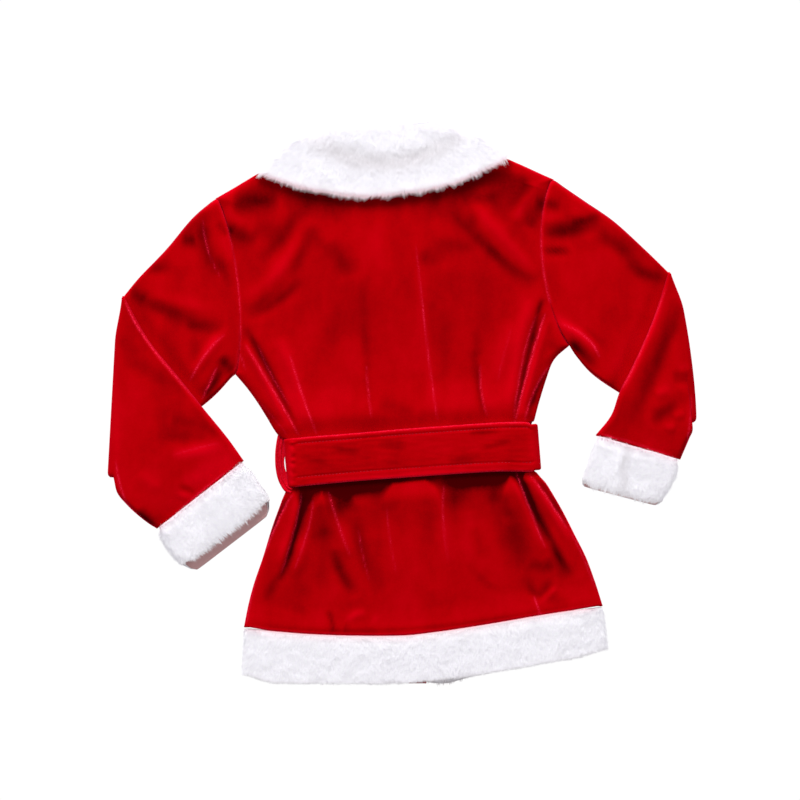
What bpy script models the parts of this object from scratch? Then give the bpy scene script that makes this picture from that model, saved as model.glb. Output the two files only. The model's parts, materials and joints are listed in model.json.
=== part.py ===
"""A child's Santa suit jacket with its belt, laid flat on its front, so its back is up.

Metres, +Z up, +Y towards the collar. Every table below is in millimetres. Each layer of cloth lies
on the one beneath it: belt, collar and hem of the front, then the fronts, the back, and what is on it.
"""

import math

import bpy
import numpy as np

MM = 0.001
WALL = 2.0  # velvet with its lining
GAP = 0.3  # between pieces at a seam
FUR_WALL = 6.5  # fur round a cuff
BELT_WALL = 3.0
FRONT_FUR = 5.0  # fur of the front hem, pressed flat by what lies on it
FRONT_COLLAR = 6.0
CENTRE_FRONT = 13.0  # x where the fronts meet
BELT_SEAT = 10.0  # top of the back where the belt lies on it
COLLAR_SEAT = 12.1  # top of the back where the collar lies on it
BELT_HALF = 24.0  # half the width over which the belt presses the cloth flat
HEM_MIDDLE = 11.6  # middle height of the back hem's fur
CUFF_HALF = 7.5  # half a flattened cuff's height
ARM_HALF = 2.3  # half a flattened sleeve's height where it is thinnest
FORE_MIDDLE = 9.1  # middle height of a forearm where it starts, on the upper arm
LOFT = 4.4  # how far the back stands off the seams, where nothing presses it
BUNCH = 3.6  # what the gathers beside the belt add to that
SEAM_ARCH = 2.4  # rise of the back where a sleeve is set in
ROUNDING = 11.0  # width over which the back rounds down to a seam
PLACKET_WALL = 1.6
PLACKET_HALF = 8.0  # half the placket's width

# Body, a row for each section from underarm to hem seam. The pleats are its deepest folds.
# left x, left y, left pleat x, right pleat x, right x, right y
BODY_ROWS = (
    (-151.0, 27.0, -120.0, 114.0, 150.0, 53.0),  # underarm
    (-140.0, 14.0, -113.0, 110.0, 136.0, 40.0),
    (-130.0, 0.0, -104.0, 107.0, 129.0, 23.0),
    (-117.0, -21.0, -95.0, 102.0, 121.0, -3.0),
    (-113.0, -27.0, -93.0, 100.5, 118.0, -11.5),
    (-100.0, -32.0, -91.0, 100.0, 113.5, -16.5),  # belt's top edge
    (-97.5, -53.0, -88.5, 101.0, 115.5, -39.0),
    (-94.5, -73.0, -87.0, 104.0, 117.5, -59.5),  # belt's bottom edge
    (-105.0, -80.0, -89.0, 106.0, 123.0, -65.0),
    (-112.0, -95.0, -92.0, 110.0, 131.0, -75.0),
    (-118.5, -113.0, -96.0, 121.0, 143.0, -95.0),
    (-126.0, -137.0, -103.0, 132.0, 154.5, -117.0),
    (-133.5, -159.0, -113.0, 143.0, 164.5, -137.0),
    (-139.0, -180.0, -124.0, 155.0, 172.5, -159.0),
    (-143.0, -200.5, -133.0, 166.0, 179.5, -181.0),  # hem seam
)

# Yoke, a row for each section from shoulder to underarm.
# share of the armhole, left pleat x, right pleat x, share of the neck's rise
YOKE_ROWS = (
    (0.0, -150.0, 122.0, 1.0),
    (0.12, -147.0, 117.0, 0.68),
    (0.25, -141.0, 112.0, 0.4),
    (0.4, -138.0, 112.0, 0.17),
    (0.55, -137.0, 117.0, 0.04),
    (0.7, -138.0, 122.0, 0.0),
    (0.88, -130.0, 120.0, 0.0),
    (1.0, -120.0, 114.0, 0.0),
)

# Each armhole: shoulder x, y, underarm x, y, bow of the seam towards the body.
LEFT_ARMHOLE = (-168.0, 185.0, -151.0, 27.0, 11.0)
RIGHT_ARMHOLE = (135.0, 202.0, 150.0, 53.0, -17.0)

# Rise of the neck and shoulder line over a straight line between the shoulders: x, back, front.
NECK_RISE = (
    (-168.0, 0.0, 0.0),
    (-93.0, 39.0, 39.0),
    (-68.0, 33.0, 32.0),
    (-50.0, 29.0, 13.0),
    (-25.0, 27.0, 0.0),
    (13.0, 29.0, -9.0),
    (30.0, 33.0, 0.0),
    (44.0, 37.0, 28.0),
    (60.0, 37.0, 37.0),
    (135.0, 0.0, 0.0),
)

# Places along an armhole seam, which the body's rows and the sleeve's first ring share.
ARMHOLE_SHARES = (0.0, 0.03, 0.1, 0.2, 0.3, 0.4, 0.5, 0.6, 0.7, 0.8, 0.9, 0.97, 1.0)

# Shares of the way across: side seam to pleat, pleat to pleat, pleat to side seam.
EDGE_SHARES = (0.0, 0.12, 0.3, 0.52, 0.7, 0.86)
MIDDLE_SHARES = (0.0, 0.022, 0.05, 0.09, 0.15, 0.22, 0.3, 0.38, 0.46)
MIDDLE_SHARES += (0.54, 0.62, 0.7, 0.78, 0.85, 0.91, 0.95, 0.978)

# Shares of the way across each band, end a to end b, closer together where its edges are round.
CUFF_SHARES = (0, 0.02, 0.06, 0.15, 0.32, 0.5, 0.68, 0.85, 0.94, 0.98, 1)
COLLAR_SHARES = (0, 0.02, 0.08, 0.25, 0.5, 0.75, 0.92, 0.98, 1)
HEM_SHARES = (0, 0.02, 0.09, 0.35, 0.65, 0.91, 0.98, 1)
BELT_SHARES = (0, 0.02, 0.5, 0.98, 1)
LOOP_SHARES = (0, 0.12, 0.5, 0.88, 1)

# Folds of the back: start, middle and end of the crest or trough, half its width, its height.
BODY_FOLDS = (
    ((-141, 63), (-113, 16), (-91, -30), 3.5, -6.0),  # left pleat, above the belt
    ((-139, 46), (-119, 10), (-96, -28), 4.0, 2.5),
    ((-130, 2), (-118, -13), (-105, -28), 3.5, -3.0),
    ((-104, 44), (-90, 11), (-78, -26), 7.0, 2.2),
    ((124, 94), (111, 42), (100, -14), 4.5, -6.5),  # right pleat, above the belt
    ((115, 73), (104, 37), (95, -9), 5.0, 2.2),
    ((130, 67), (119, 38), (105, -5), 4.0, 2.5),
    ((131, 27), (121, 12), (109, -15), 3.0, -4.0),
    ((-88, 180), (-20, 178), (47, 180), 8.0, -1.5),  # yoke
    ((-129, 105), (-108, 131), (-85, 158), 10.0, 2.2),
    ((-129, 88), (-106, 103), (-94, 130), 8.0, -1.8),
    ((-74, 158), (-65, 146), (-57, 133), 8.0, -1.5),
    ((54, 167), (78, 145), (112, 115), 7.0, -2.6),
    ((43, 175), (69, 155), (109, 133), 8.0, 2.0),
    ((18, 145), (51, 135), (95, 115), 8.0, -1.6),
    ((112, 92), (99, 64), (88, 38), 9.0, 1.6),
    ((16, 119), (21, 58), (30, -19), 6.0, 1.4),  # long soft folds down the back
    ((-34, 81), (-31, 24), (-25, -14), 6.0, 1.2),
    ((61, 77), (69, 30), (75, -10), 6.0, 1.6),
    ((-6, 20), (-5, 0), (-3, -18), 11.0, -1.6),
    ((-100, -85), (-106, -96), (-122, -122), 4.0, 2.2),  # left pleat, below the belt
    ((-88, -77), (-95, -110), (-120, -168), 4.5, -6.0),
    ((-78, -86), (-87, -118), (-98, -151), 5.5, 3.0),
    ((-66, -82), (-57, -110), (-49, -131), 7.0, 3.0),
    ((-47, -84), (-37, -130), (-19, -169), 8.0, -2.6),
    ((-13, -90), (-10, -130), (-5, -155), 8.0, 1.6),
    ((39, -80), (37, -104), (40, -134), 9.0, 1.8),
    ((106, -66), (122, -99), (152, -151), 5.0, -6.5),  # right pleat, below the belt
    ((103, -78), (115, -110), (131, -142), 5.0, 2.2),
    ((116, -64), (132, -88), (150, -112), 4.5, 2.6),
    ((-85, -76), (-85, -84), (-87, -94), 5.0, -3.0),  # hollows where the belt gathers the skirt
    ((-62, -76), (-55, -77), (-48, -78), 6.0, -3.0),
    ((38, -69), (46, -70), (55, -70), 6.0, -3.0),
    ((76, -68), (83, -76), (90, -88), 6.0, -3.0),
    ((103, -112), (106, -124), (108, -134), 8.0, -1.5),
)

# Folds of the sleeves, on the side that is up.
LEFT_ARM_FOLDS = (
    ((-243, 96), (-210, 84), (-160, 72), 7.0, -2.6),
    ((-177, 166), (-173, 134), (-162, 106), 8.0, 1.4),
    ((-162, 63), (-173, 49), (-186, 26), 6.0, 2.0),
    ((-162, 42), (-168, 30), (-176, 12), 6.0, -1.4),
)
LEFT_FORE_FOLDS = (
    ((-221, -27), (-198, -21), (-176, -28), 8.0, -2.6),
    ((-198, -74), (-192, -76), (-185, -77), 6.0, -1.2),
)
RIGHT_ARM_FOLDS = (
    ((129, 157), (150, 159), (176, 169), 7.0, -2.8),
    ((178, 156), (204, 131), (232, 117), 8.0, -2.6),
    ((139, 72), (160, 61), (176, 44), 6.0, 2.0),
)
RIGHT_FORE_FOLDS = (
    ((241, 86), (229, 60), (205, -8), 9.0, -2.8),
    ((245, 26), (252, 26), (259, 26), 6.0, -1.4),
    ((224, -14), (240, -1), (254, 15), 8.0, -1.4),
)

# Sections of a sleeve or band: end a (x, y), end b (x, y), middle height, reach of the side that is
# the garment's outside before it is folded over, reach of the other side, and bow along x.
LEFT_ARM = (
    (-168.5, 185, -151.5, 27, ARM_HALF, 4.7, ARM_HALF, 11),
    (-189.5, 167, -171, 6, ARM_HALF, 6.2, ARM_HALF, 8),
    (-213, 139, -200, -17, ARM_HALF, 6.0, ARM_HALF, 4),
    (-237, 114, -232, -43, ARM_HALF, 4.0, ARM_HALF, 1),
    (-249, 98, -260, -66, ARM_HALF, ARM_HALF, ARM_HALF, 0),
)
LEFT_FORE = (
    (-249, 98, -260, -66, FORE_MIDDLE, ARM_HALF, ARM_HALF, 0),
    (-229, 58, -256.5, -80, FORE_MIDDLE, 3.0, 4.6, 0),
    (-204, 27, -247.5, -91, 9.0, 3.6, 6.2, 0),
    (-180, -3, -238.5, -99.5, 8.6, 3.8, 6.4, 0),
    (-158, -30, -229, -107, 8.0, 3.4, 5.4, 0),
    (-143, -51, -221, -112, CUFF_HALF, 2.4, 2.6, 0),
)
RIGHT_ARM = (
    (135.6, 202, 151.2, 53, ARM_HALF, 4.7, ARM_HALF, -17),
    (145, 195, 156, 43, ARM_HALF, 5.4, ARM_HALF, -15),
    (164, 182, 170, 27, ARM_HALF, 6.4, ARM_HALF, -11),
    (190, 164, 193, 11, ARM_HALF, 6.4, ARM_HALF, -6),
    (218, 140.5, 222, -5, ARM_HALF, 4.2, ARM_HALF, 1),
    (236, 118.5, 258.5, -17, ARM_HALF, ARM_HALF, ARM_HALF, 6),
)
RIGHT_FORE = (
    (236, 118.5, 258.5, -17, FORE_MIDDLE, ARM_HALF, ARM_HALF, 6),
    (225, 77, 260, -24, FORE_MIDDLE, 3.0, 4.8, 5),
    (209, 40, 257.5, -30, 9.0, 3.6, 6.2, 2),
    (195, 12, 255, -36, 8.6, 3.8, 6.2, 1),
    (187, -10, 252, -43, 8.0, 3.4, 5.0, 0),
    (173, -28, 249, -50, CUFF_HALF, 2.4, 2.6, 0),
)
LEFT_CUFF = (
    (-142.7, -51.5, -220.7, -112.6, CUFF_HALF, 6.6, 6.6, 0),
    (-134, -60, -219.5, -122, CUFF_HALF, CUFF_HALF, CUFF_HALF, 0),
    (-126, -72, -212, -134, CUFF_HALF, CUFF_HALF, CUFF_HALF, 0),
    (-118, -84, -202, -145.5, CUFF_HALF, CUFF_HALF, CUFF_HALF, 0),
    (-118, -96, -191, -152, CUFF_HALF, 6.9, 6.9, 0),
)
RIGHT_CUFF = (
    (173, -28.6, 248.8, -50.6, CUFF_HALF, 6.6, 6.6, 0),
    (168, -41, 248, -62, CUFF_HALF, CUFF_HALF, CUFF_HALF, 0),
    (164, -52, 243, -72, CUFF_HALF, CUFF_HALF, CUFF_HALF, 0),
    (160, -64, 237, -84, CUFF_HALF, CUFF_HALF, CUFF_HALF, 0),
    (157.5, -71.5, 233, -91.5, CUFF_HALF, 6.9, 6.9, 0),
)

# Bands that run under the left front, over the back and under the right front.
COLLAR_LEFT = (
    (9, 186, 9, 136, 3, 3, 3, 0),
    (-25, 193, -38, 143, 3, 3, 3, 0),
    (-50, 207, -80, 158, 3, 3, 3, 0),
    (-70, 228, -110, 182, 3, 3, 3, 0),
    (-78, 243, -128, 207, 3, 3, 3, 0),
)
COLLAR_BACK = (
    (-78, 243, -128, 207, 17, 4, 4, 0),
    (-70, 249, -110, 201, 17, 4.5, 4.8, 0),
    (-51, 250, -86, 194, 17, 4.5, 5.2, 0),
    (-32, 251, -58, 189, 17, 4.5, 5.4, 0),
    (-13, 252.5, -30, 187, 17, 4.5, 5.4, 0),
    (5, 254, -4, 189.5, 17, 4.5, 5.4, 0),
    (20, 255.5, 21, 193, 17, 4.5, 5.4, 0),
    (34, 255, 46, 199, 17, 4.5, 5.2, 0),
    (48, 251, 72, 210, 17, 4.5, 4.8, 0),
    (52, 246, 92.5, 220.5, 17, 4, 4, 0),
)
COLLAR_RIGHT = (
    (52, 246, 92.5, 220.5, 3, 3, 3, 0),
    (46, 228, 84, 188, 3, 3, 3, 0),
    (37, 207, 64, 160, 3, 3, 3, 0),
    (27, 193, 38, 144, 3, 3, 3, 0),
    (17, 186, 17, 136, 3, 3, 3, 0),
)
HEM_LEFT = (
    (7, -208, 7.5, -251, 2.5, 2.5, 2.5, 0),
    (-10, -208.6, -10, -253, 2.5, 2.5, 2.5, 0),
    (-50, -208.6, -50, -251, 2.5, 2.5, 2.5, 0),
    (-100, -206.4, -99, -248, 2.5, 2.5, 2.5, 0),
    (-137, -203, -138, -242.5, 2.5, 2.5, 2.5, 0),
)
HEM_BACK = (
    (-137, -203, -138, -242.5, HEM_MIDDLE, 3.8, 3.8, 0),
    (-120, -204.5, -119, -251.5, HEM_MIDDLE, 4, 4, 0),
    (-88, -207.2, -88, -253, HEM_MIDDLE, 4, 4, 0),
    (-55, -208.6, -55, -253.5, HEM_MIDDLE, 4, 4, 0),
    (-20, -209, -22, -253.5, HEM_MIDDLE, 4, 4, 0),
    (5, -208.4, 2, -252.5, HEM_MIDDLE, 4, 4, 0),
    (35, -204.8, 31, -250, HEM_MIDDLE, 4, 4, 0),
    (62, -200.8, 60, -246.5, HEM_MIDDLE, 4, 4, 0),
    (91, -196, 90, -241.5, HEM_MIDDLE, 4, 4, 0),
    (120, -191, 120, -236.5, HEM_MIDDLE, 4, 4, 0),
    (150, -186.4, 152, -231, HEM_MIDDLE, 4, 4, 0),
    (174, -184, 178.5, -222, HEM_MIDDLE, 3.8, 3.8, 0),
)
HEM_RIGHT = (
    (174, -184, 178.5, -222, 2.5, 2.5, 2.5, 0),
    (130, -189.4, 130, -232, 2.5, 2.5, 2.5, 0),
    (83, -197.4, 84, -242, 2.5, 2.5, 2.5, 0),
    (62, -200.8, 62, -247.5, 2.5, 2.5, 2.5, 0),
    (45, -203.4, 45, -252.5, 2.5, 2.5, 2.5, 0),
    (35, -204.8, 35, -254, 2.5, 2.5, 2.5, 0),
    (19.5, -206.8, 19.5, -252.5, 2.5, 2.5, 2.5, 0),
)
BELT_LEFT = (
    (12.5, -21.5, 12.5, -65.5, 1.5, 1.5, 1.5, 0),
    (-50, -26.5, -48, -70, 1.5, 1.5, 1.5, 0),
    (-101, -31, -97, -74.5, 1.5, 1.5, 1.5, 0),
)
BELT_BACK = (
    (-101, -31, -97, -74.5, BELT_SEAT + 1.9, 1.5, 1.5, 0),
    (-80, -29, -78, -72.5, BELT_SEAT + 1.9, 1.5, 1.5, 0),
    (-40, -25.8, -39, -69, BELT_SEAT + 1.9, 1.5, 1.5, 0),
    (5, -22, 5, -65.8, BELT_SEAT + 1.9, 1.5, 1.5, 0),
    (50, -18.8, 50, -62.6, BELT_SEAT + 1.9, 1.5, 1.5, 0),
    (87, -16.4, 87, -60.6, BELT_SEAT + 1.9, 1.5, 1.5, 0),
    (114.3, -16.4, 117.6, -60.8, BELT_SEAT + 1.9, 1.5, 1.5, 0),
)
BELT_RIGHT = (
    (114.3, -16.4, 117.6, -60.8, 1.5, 1.5, 1.5, 0),
    (60, -18.3, 61, -62, 1.5, 1.5, 1.5, 0),
    (13.5, -21.4, 13.5, -65.4, 1.5, 1.5, 1.5, 0),
)
BELT_LOOP = (
    (-112.7, -27.6, -108.2, -29.3, 5.6, 1.4, 1.4, 0),
    (-114.6, -39, -109.6, -40, 5.6, 1.6, 1.6, 0),
    (-114.8, -49, -109.8, -49, 5.6, 1.6, 1.6, 0),
    (-114.4, -58, -109.4, -57.6, 5.6, 1.6, 1.6, 0),
    (-112, -69, -107.2, -66.8, 5.6, 1.6, 1.6, 0),
    (-106.3, -80.9, -103.9, -78.3, 5.6, 1.4, 1.4, 0),
)

# Name: colour, roughness.
FINISHES = {"velvet": ((0.42, 0.0, 0.004), 0.75), "fur": ((0.86, 0.85, 0.89), 0.95)}


def ramp(t):
    """0 to 1, smooth at both ends."""
    t = np.clip(t, 0.0, 1.0)
    return t * t * (3.0 - 2.0 * t)


def nearest(x, y, line):
    """Distance of each point to a line of points, and how far along it that is, 0 to 1."""
    best = np.full(np.shape(x), 1e9)
    along = np.zeros(np.shape(x))
    line = np.array(line, float)
    for i, (start, end) in enumerate(zip(line[:-1], line[1:])):
        step = end - start
        t = np.clip(((x - start[0]) * step[0] + (y - start[1]) * step[1]) / step.dot(step), 0.0, 1.0)
        distance = np.hypot(x - start[0] - t * step[0], y - start[1] - t * step[1])
        along = np.where(distance < best, (i + t) / (len(line) - 1), along)
        best = np.minimum(best, distance)
    return best, along


def folds(x, y, table):
    """Height that the folds of a table add at each point."""
    height = np.zeros(np.shape(x))
    for start, middle, end, width, rise in table:
        start, middle, end = (np.array(p, float) for p in (start, middle, end))
        control = 2.0 * middle - 0.5 * (start + end)
        t = np.linspace(0.0, 1.0, 9)[:, None]
        curve = (1 - t) ** 2 * start + 2 * t * (1 - t) * control + t**2 * end
        distance, along = nearest(x, y, curve)
        height += rise * np.exp(-((distance / width) ** 2)) * (1.0 - (2.0 * along - 1.0) ** 8)
    return height


def belt_middle(x):
    return -46.0 + 0.061 * x


def hem_seam(x):
    seam = np.array([row[:2] for row in HEM_BACK], float)
    seam[[0, -1], 1] += 1.6
    return np.interp(x, seam[:, 0], seam[:, 1])


def middle_line(*runs):
    """Points along the middle of a band's runs."""
    return [((ax + bx) / 2, (ay + by) / 2) for run in runs for ax, ay, bx, by, *_ in run]


def front_lift(x, y):
    """Height of the fronts' underside: on the floor, or on the belt, collar and hem of the front."""
    on_belt = (BELT_WALL + GAP) * ramp((41.0 - np.abs(y - belt_middle(x))) / 14.0)
    at_hem = 1.5 * ramp((14.0 + hem_seam(x) - y) / 12.0)
    collar = middle_line(COLLAR_LEFT[::-1], COLLAR_RIGHT[::-1])
    on_collar = (FRONT_COLLAR + GAP) * ramp((62.0 - nearest(x, y, collar)[0]) / 26.0)
    return np.maximum(np.maximum(on_belt, at_hem), on_collar)


def back_height(x, y, edge, arch):
    """Top of the back. edge is the distance from the nearest seam, arch the seam's own rise."""
    seam = front_lift(x, y) + WALL + GAP + WALL
    off_belt = np.abs(y - belt_middle(x)) - BELT_HALF
    bunch = BUNCH * np.exp(-(((off_belt - 11.0) / 12.0) ** 2))
    full = LOFT + bunch + folds(x, y, BODY_FOLDS)
    crown = np.sqrt(1.0 - (1.0 - np.clip(edge / ROUNDING, 0.0, 1.0)) ** 2)
    height = seam + arch + np.maximum(full - arch, 0.4) * crown
    under_collar = 1.0 - ramp((nearest(x, y, middle_line(COLLAR_BACK))[0] - 34.0) / 14.0)
    height += (np.minimum(height, COLLAR_SEAT) - height) * under_collar
    under_belt = 1.0 - ramp((off_belt - 0.5) / 7.0)
    height += (np.minimum(BELT_SEAT, seam + 3.0 * crown) - height) * under_belt
    at_hem = 1.0 - ramp((y - hem_seam(x)) / 13.0)
    return height + (HEM_MIDDLE + 0.9 - height) * at_hem * crown


def armhole(side, t):
    """A point of an armhole seam, from shoulder (0) to underarm (1)."""
    x0, y0, x1, y1, bow = side
    return x0 + (x1 - x0) * t + bow * (4.0 * t * (1.0 - t)) ** 0.8, y0 + (y1 - y0) * t


def smooth_rows(rows, spacing):
    """Rows through the given ones on a Catmull-Rom curve, each near enough to the next."""
    rows = np.array(rows, float)
    padded = np.vstack([2 * rows[0] - rows[1], rows, 2 * rows[-1] - rows[-2]])
    made = [rows[0]]
    for i in range(len(rows) - 1):
        before, start, end, after = padded[i : i + 4]
        length = max(math.dist(start[:2], end[:2]), math.dist(start[2:4], end[2:4]))
        steps = max(1, round(length / spacing))
        for t in np.arange(1, steps + 1) / steps:
            bend = 2 * start + (end - before) * t + (2 * before - 5 * start + 4 * end - after) * t**2
            made.append(0.5 * (bend + (3 * start - 3 * end + after - before) * t**3))
    return np.array(made)


def body_rows():
    """A row each: left x, y, right x, y, left pleat x, right pleat x, neck's share, armhole seam's arch."""
    yoke = np.array(YOKE_ROWS)
    rows = []
    for t in ARMHOLE_SHARES[:-1]:
        left_pleat, right_pleat, rise = (np.interp(t, yoke[:, 0], yoke[:, k]) for k in (1, 2, 3))
        sides = (*armhole(LEFT_ARMHOLE, t), *armhole(RIGHT_ARMHOLE, t))
        rows.append((*sides, left_pleat, right_pleat, rise, SEAM_ARCH * math.sin(math.pi * t)))
    rest = [(a, b, e, f, c, d, 0.0, 0.0) for a, b, c, d, e, f in BODY_ROWS]
    return np.vstack([rows, smooth_rows(rest, 14.0)])


def row_heights(row, x, column):
    """y along a row: straight, but for the neck's rise at the top and the hem seam's curve below."""
    left_x, left_y, right_x, right_y, _, _, rise, _ = row
    straight = left_y + (right_y - left_y) * (x - left_x) / (right_x - left_x)
    first_x, first_y, _, _, last_x, last_y = BODY_ROWS[-1]
    lowest = first_y + (last_y - first_y) * (x - first_x) / (last_x - first_x)
    near_hem = ramp((BODY_ROWS[9][1] - left_y) / (BODY_ROWS[9][1] - first_y))
    return straight + rise * neck_rise(x, column) + near_hem * (hem_seam(x) + 0.9 - lowest)


def neck_rise(x, column):
    rise = np.array(NECK_RISE)
    return np.interp(x, rise[:, 0], rise[:, column])


def material_of(name):
    material = bpy.data.materials.get(name) or bpy.data.materials.new(name)
    material.use_nodes = True
    shader = material.node_tree.nodes["Principled BSDF"]
    colour, roughness = FINISHES[name]
    shader.inputs["Base Color"].default_value = (*colour, 1.0)
    shader.inputs["Roughness"].default_value = roughness
    shader.inputs["Metallic"].default_value = 0.0
    material.diffuse_color = (*colour, 1.0)
    return material


def add_piece(name, points, faces, finish):
    """A named object from points in millimetres."""
    mesh = bpy.data.meshes.new(name)
    mesh.from_pydata([tuple(p) for p in np.asarray(points) * MM], [], faces)
    mesh.shade_smooth()
    mesh.materials.append(material_of(finish))
    piece = bpy.data.objects.new(name, mesh)
    jacket.objects.link(piece)
    return piece


def grid_faces(rows, columns):
    return [
        (r * columns + c, (r + 1) * columns + c, (r + 1) * columns + c + 1, r * columns + c + 1)
        for r in range(rows - 1)
        for c in range(columns - 1)
    ]


def add_panel(name, x, y, z, thickness=WALL):
    """A panel of cloth: its upper surface as a grid of rows, with a wall below it."""
    points = np.stack([x, y, z], axis=-1).reshape(-1, 3)
    panel = add_piece(name, points, grid_faces(*x.shape), "velvet")
    wall = panel.modifiers.new("Wall", "SOLIDIFY")
    wall.thickness = thickness * MM
    wall.offset = -1.0
    return panel


def add_back():
    rows = body_rows()
    x, y, edge, arch = [], [], [], []
    for row in rows:
        left_x, _, right_x, _, left_pleat, right_pleat, _, seam_arch = row
        across = [left_x + (left_pleat - left_x) * s for s in EDGE_SHARES]
        across += [left_pleat + (right_pleat - left_pleat) * s for s in MIDDLE_SHARES]
        across += [right_x + (right_pleat - right_x) * s for s in (1.0, *EDGE_SHARES[::-1])]
        across = np.array(across)
        x.append(across)
        y.append(row_heights(row, across, 1))
        edge.append(np.minimum(across - left_x, right_x - across))
        arch.append(seam_arch * np.exp(-(edge[-1] / 14.0) ** 2))
    x, y, edge, arch = (np.array(v) for v in (x, y, edge, arch))
    neck = ramp((x - NECK_RISE[1][0]) / 14.0) * ramp((NECK_RISE[-2][0] - x) / 14.0)
    from_top = nearest(x, y, np.stack([x[0], y[0]], axis=-1))[0]
    edge = np.minimum(edge, from_top + ROUNDING * neck)
    return add_panel("back_panel", x, y, back_height(x, y, edge, arch))


def add_front(name, is_left):
    """A front from its side seam to the centre front, flat on the floor."""
    rows = body_rows()
    shares = np.linspace(0.0, 1.0, 11)
    seam_x, seam_y = (rows[:, 0], rows[:, 1]) if is_left else (rows[:, 2], rows[:, 3])
    centre = CENTRE_FRONT + (-GAP if is_left else GAP)
    x = seam_x[:, None] + (centre - seam_x[:, None]) * shares
    y = np.array([row_heights(row, across, 2) for row, across in zip(rows, x)])
    if not is_left:
        x, y = x[:, ::-1], y[:, ::-1]
    return add_panel(name, x, y, front_lift(x, y) + WALL)


def add_placket():
    """The strip behind the centre front, on which the fronts meet."""
    x, y = np.meshgrid((-PLACKET_HALF, 0.0, PLACKET_HALF), np.linspace(92.0, -251.0, 30))
    x += CENTRE_FRONT
    on_fur = ramp((hem_seam(x) + 9.0 - y) / 8.0)
    under = np.max([front_lift(x, y + step) for step in (-10.0, -5.0, 0.0, 5.0, 10.0)], axis=0)
    under += WALL + GAP
    under += np.maximum(FRONT_FUR + GAP - under, 0.0) * on_fur
    return add_panel("front_placket", x, y, under + PLACKET_WALL, PLACKET_WALL)


def ring(section, shares, round_width, turn=0.0, normal=(0, 0), radius=0.0, pinch=1.0, **cloth):
    """Points round one section: its first side from end a to end b, then its other side back.

    turn is how far the section is folded over, about an edge that faces along normal, and pinch the
    share of its reach that the fold keeps at end a. cloth is inset, how far inside the surface the
    points lie, table, the folds of the side that is up, and clear, where they are free to rise.
    """
    inset, table, clear = cloth.get("inset", 0.0), cloth.get("table", ()), cloth.get("clear")
    ax, ay, bx, by, middle, first, second, bow = section
    width = math.hypot(bx - ax, by - ay)
    shares = np.array(shares)
    u = (inset + (width - 2.0 * inset) * shares) / width
    x = ax + (bx - ax) * u + bow * (4.0 * u * (1.0 - u)) ** 0.8
    y = ay + (by - ay) * u
    from_end = np.minimum(shares, 1.0 - shares) * (width - 2.0 * inset)
    crown = np.sqrt(1.0 - (1.0 - np.clip(from_end / max(round_width - inset, 0.3), 0.0, 1.0)) ** 2)
    up, out = math.cos(turn), abs(math.sin(turn)) * (pinch + (1.0 - pinch) * ramp(u / 0.6))
    sides = []
    for reach, sign in ((first, 1.0), (second, -1.0)):
        reach = max(reach - inset, 0.16) * np.ones_like(u)
        if table and sign * up > 0.5:
            room = clear(x, y) if clear else 1.0
            spare = reach - ARM_HALF + inset
            reach = reach - spare + room * np.maximum(spare + folds(x, y, table), 0.0)
        lift = sign * reach * crown
        side_x = x + out * (radius - lift) * normal[0]
        side_y = y + out * (radius - lift) * normal[1]
        sides.append(np.stack([side_x, side_y, np.maximum(middle + lift * up, 0.0)], axis=-1))
    return np.vstack([sides[0], sides[1][::-1][1:-1]])


def runs_to_rings(runs, spacing, arc_steps, **ring_options):
    """Rings along a band or tube whose runs lie one on another, folded over between them."""
    rings = []
    tables = ring_options.pop("tables", [()] * len(runs))
    clears = ring_options.pop("clears", [None] * len(runs))
    for number, run in enumerate(runs):
        turn = math.pi * (number % 2)
        cloth = {"table": tables[number], "clear": clears[number], **ring_options}
        rings += [ring(section, turn=turn, **cloth) for section in smooth_rows(run, spacing)]
        if number + 1 == len(runs):
            break
        last, following = np.array(run[-1], float), np.array(runs[number + 1][0], float)
        inward = np.array(run[-2][:4], float).reshape(2, 2).mean(axis=0)
        chord = last[2:4] - last[:2]
        normal = np.array([chord[1], -chord[0]]) / math.hypot(*chord)
        if normal.dot(last[:4].reshape(2, 2).mean(axis=0) - inward) < 0:
            normal = -normal
        radius = abs(following[4] - last[4]) / 2.0
        for step in range(1, arc_steps):
            share = step / arc_steps
            angle = math.pi * share
            section = last + (following - last) * share
            section[4] = last[4] + (following[4] - last[4]) * (1.0 - math.cos(angle)) / 2.0
            angle = angle if number % 2 == 0 else math.pi - angle
            rings.append(ring(section, turn=angle, normal=normal, radius=radius, **ring_options))
    return rings


def ring_faces(count, around, offset=0, flip=False):
    faces = []
    for r in range(count - 1):
        for c in range(around):
            here, beside = offset + r * around + c, offset + r * around + (c + 1) % around
            face = (here, beside, beside + around, here + around)
            faces.append(face[::-1] if flip else face)
    return faces


def face_outwards(piece):
    """Turns a closed mesh's faces outwards."""
    mesh = piece.data
    points = np.array([v.co for v in mesh.vertices])
    volume = 0.0
    for polygon in mesh.polygons:
        corners = points[list(polygon.vertices)]
        for i in range(1, len(corners) - 1):
            volume += np.dot(corners[0], np.cross(corners[i], corners[i + 1]))
    if volume < 0.0:
        mesh.flip_normals()
    return piece


def add_band(name, runs, finish, shares, round_width, spacing=16.0, arc_steps=6, pinch=1.0):
    """A closed strip with filled ends."""
    rings = runs_to_rings(runs, spacing, arc_steps, shares=shares, round_width=round_width, pinch=pinch)
    around = len(rings[0])
    faces = ring_faces(len(rings), around)
    side = (around + 2) // 2
    for r, turned in ((0, False), (len(rings) - 1, True)):
        base = r * around
        far = base + around
        cap = [(base + c, base + c + 1, far - c - 1, far - c) for c in range(1, side - 2)]
        cap += [(base, base + 1, far - 1), (base + side - 2, base + side - 1, base + side)]
        faces += [face if turned else face[::-1] for face in cap]
    return face_outwards(add_piece(name, np.vstack(rings), faces, finish))


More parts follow.
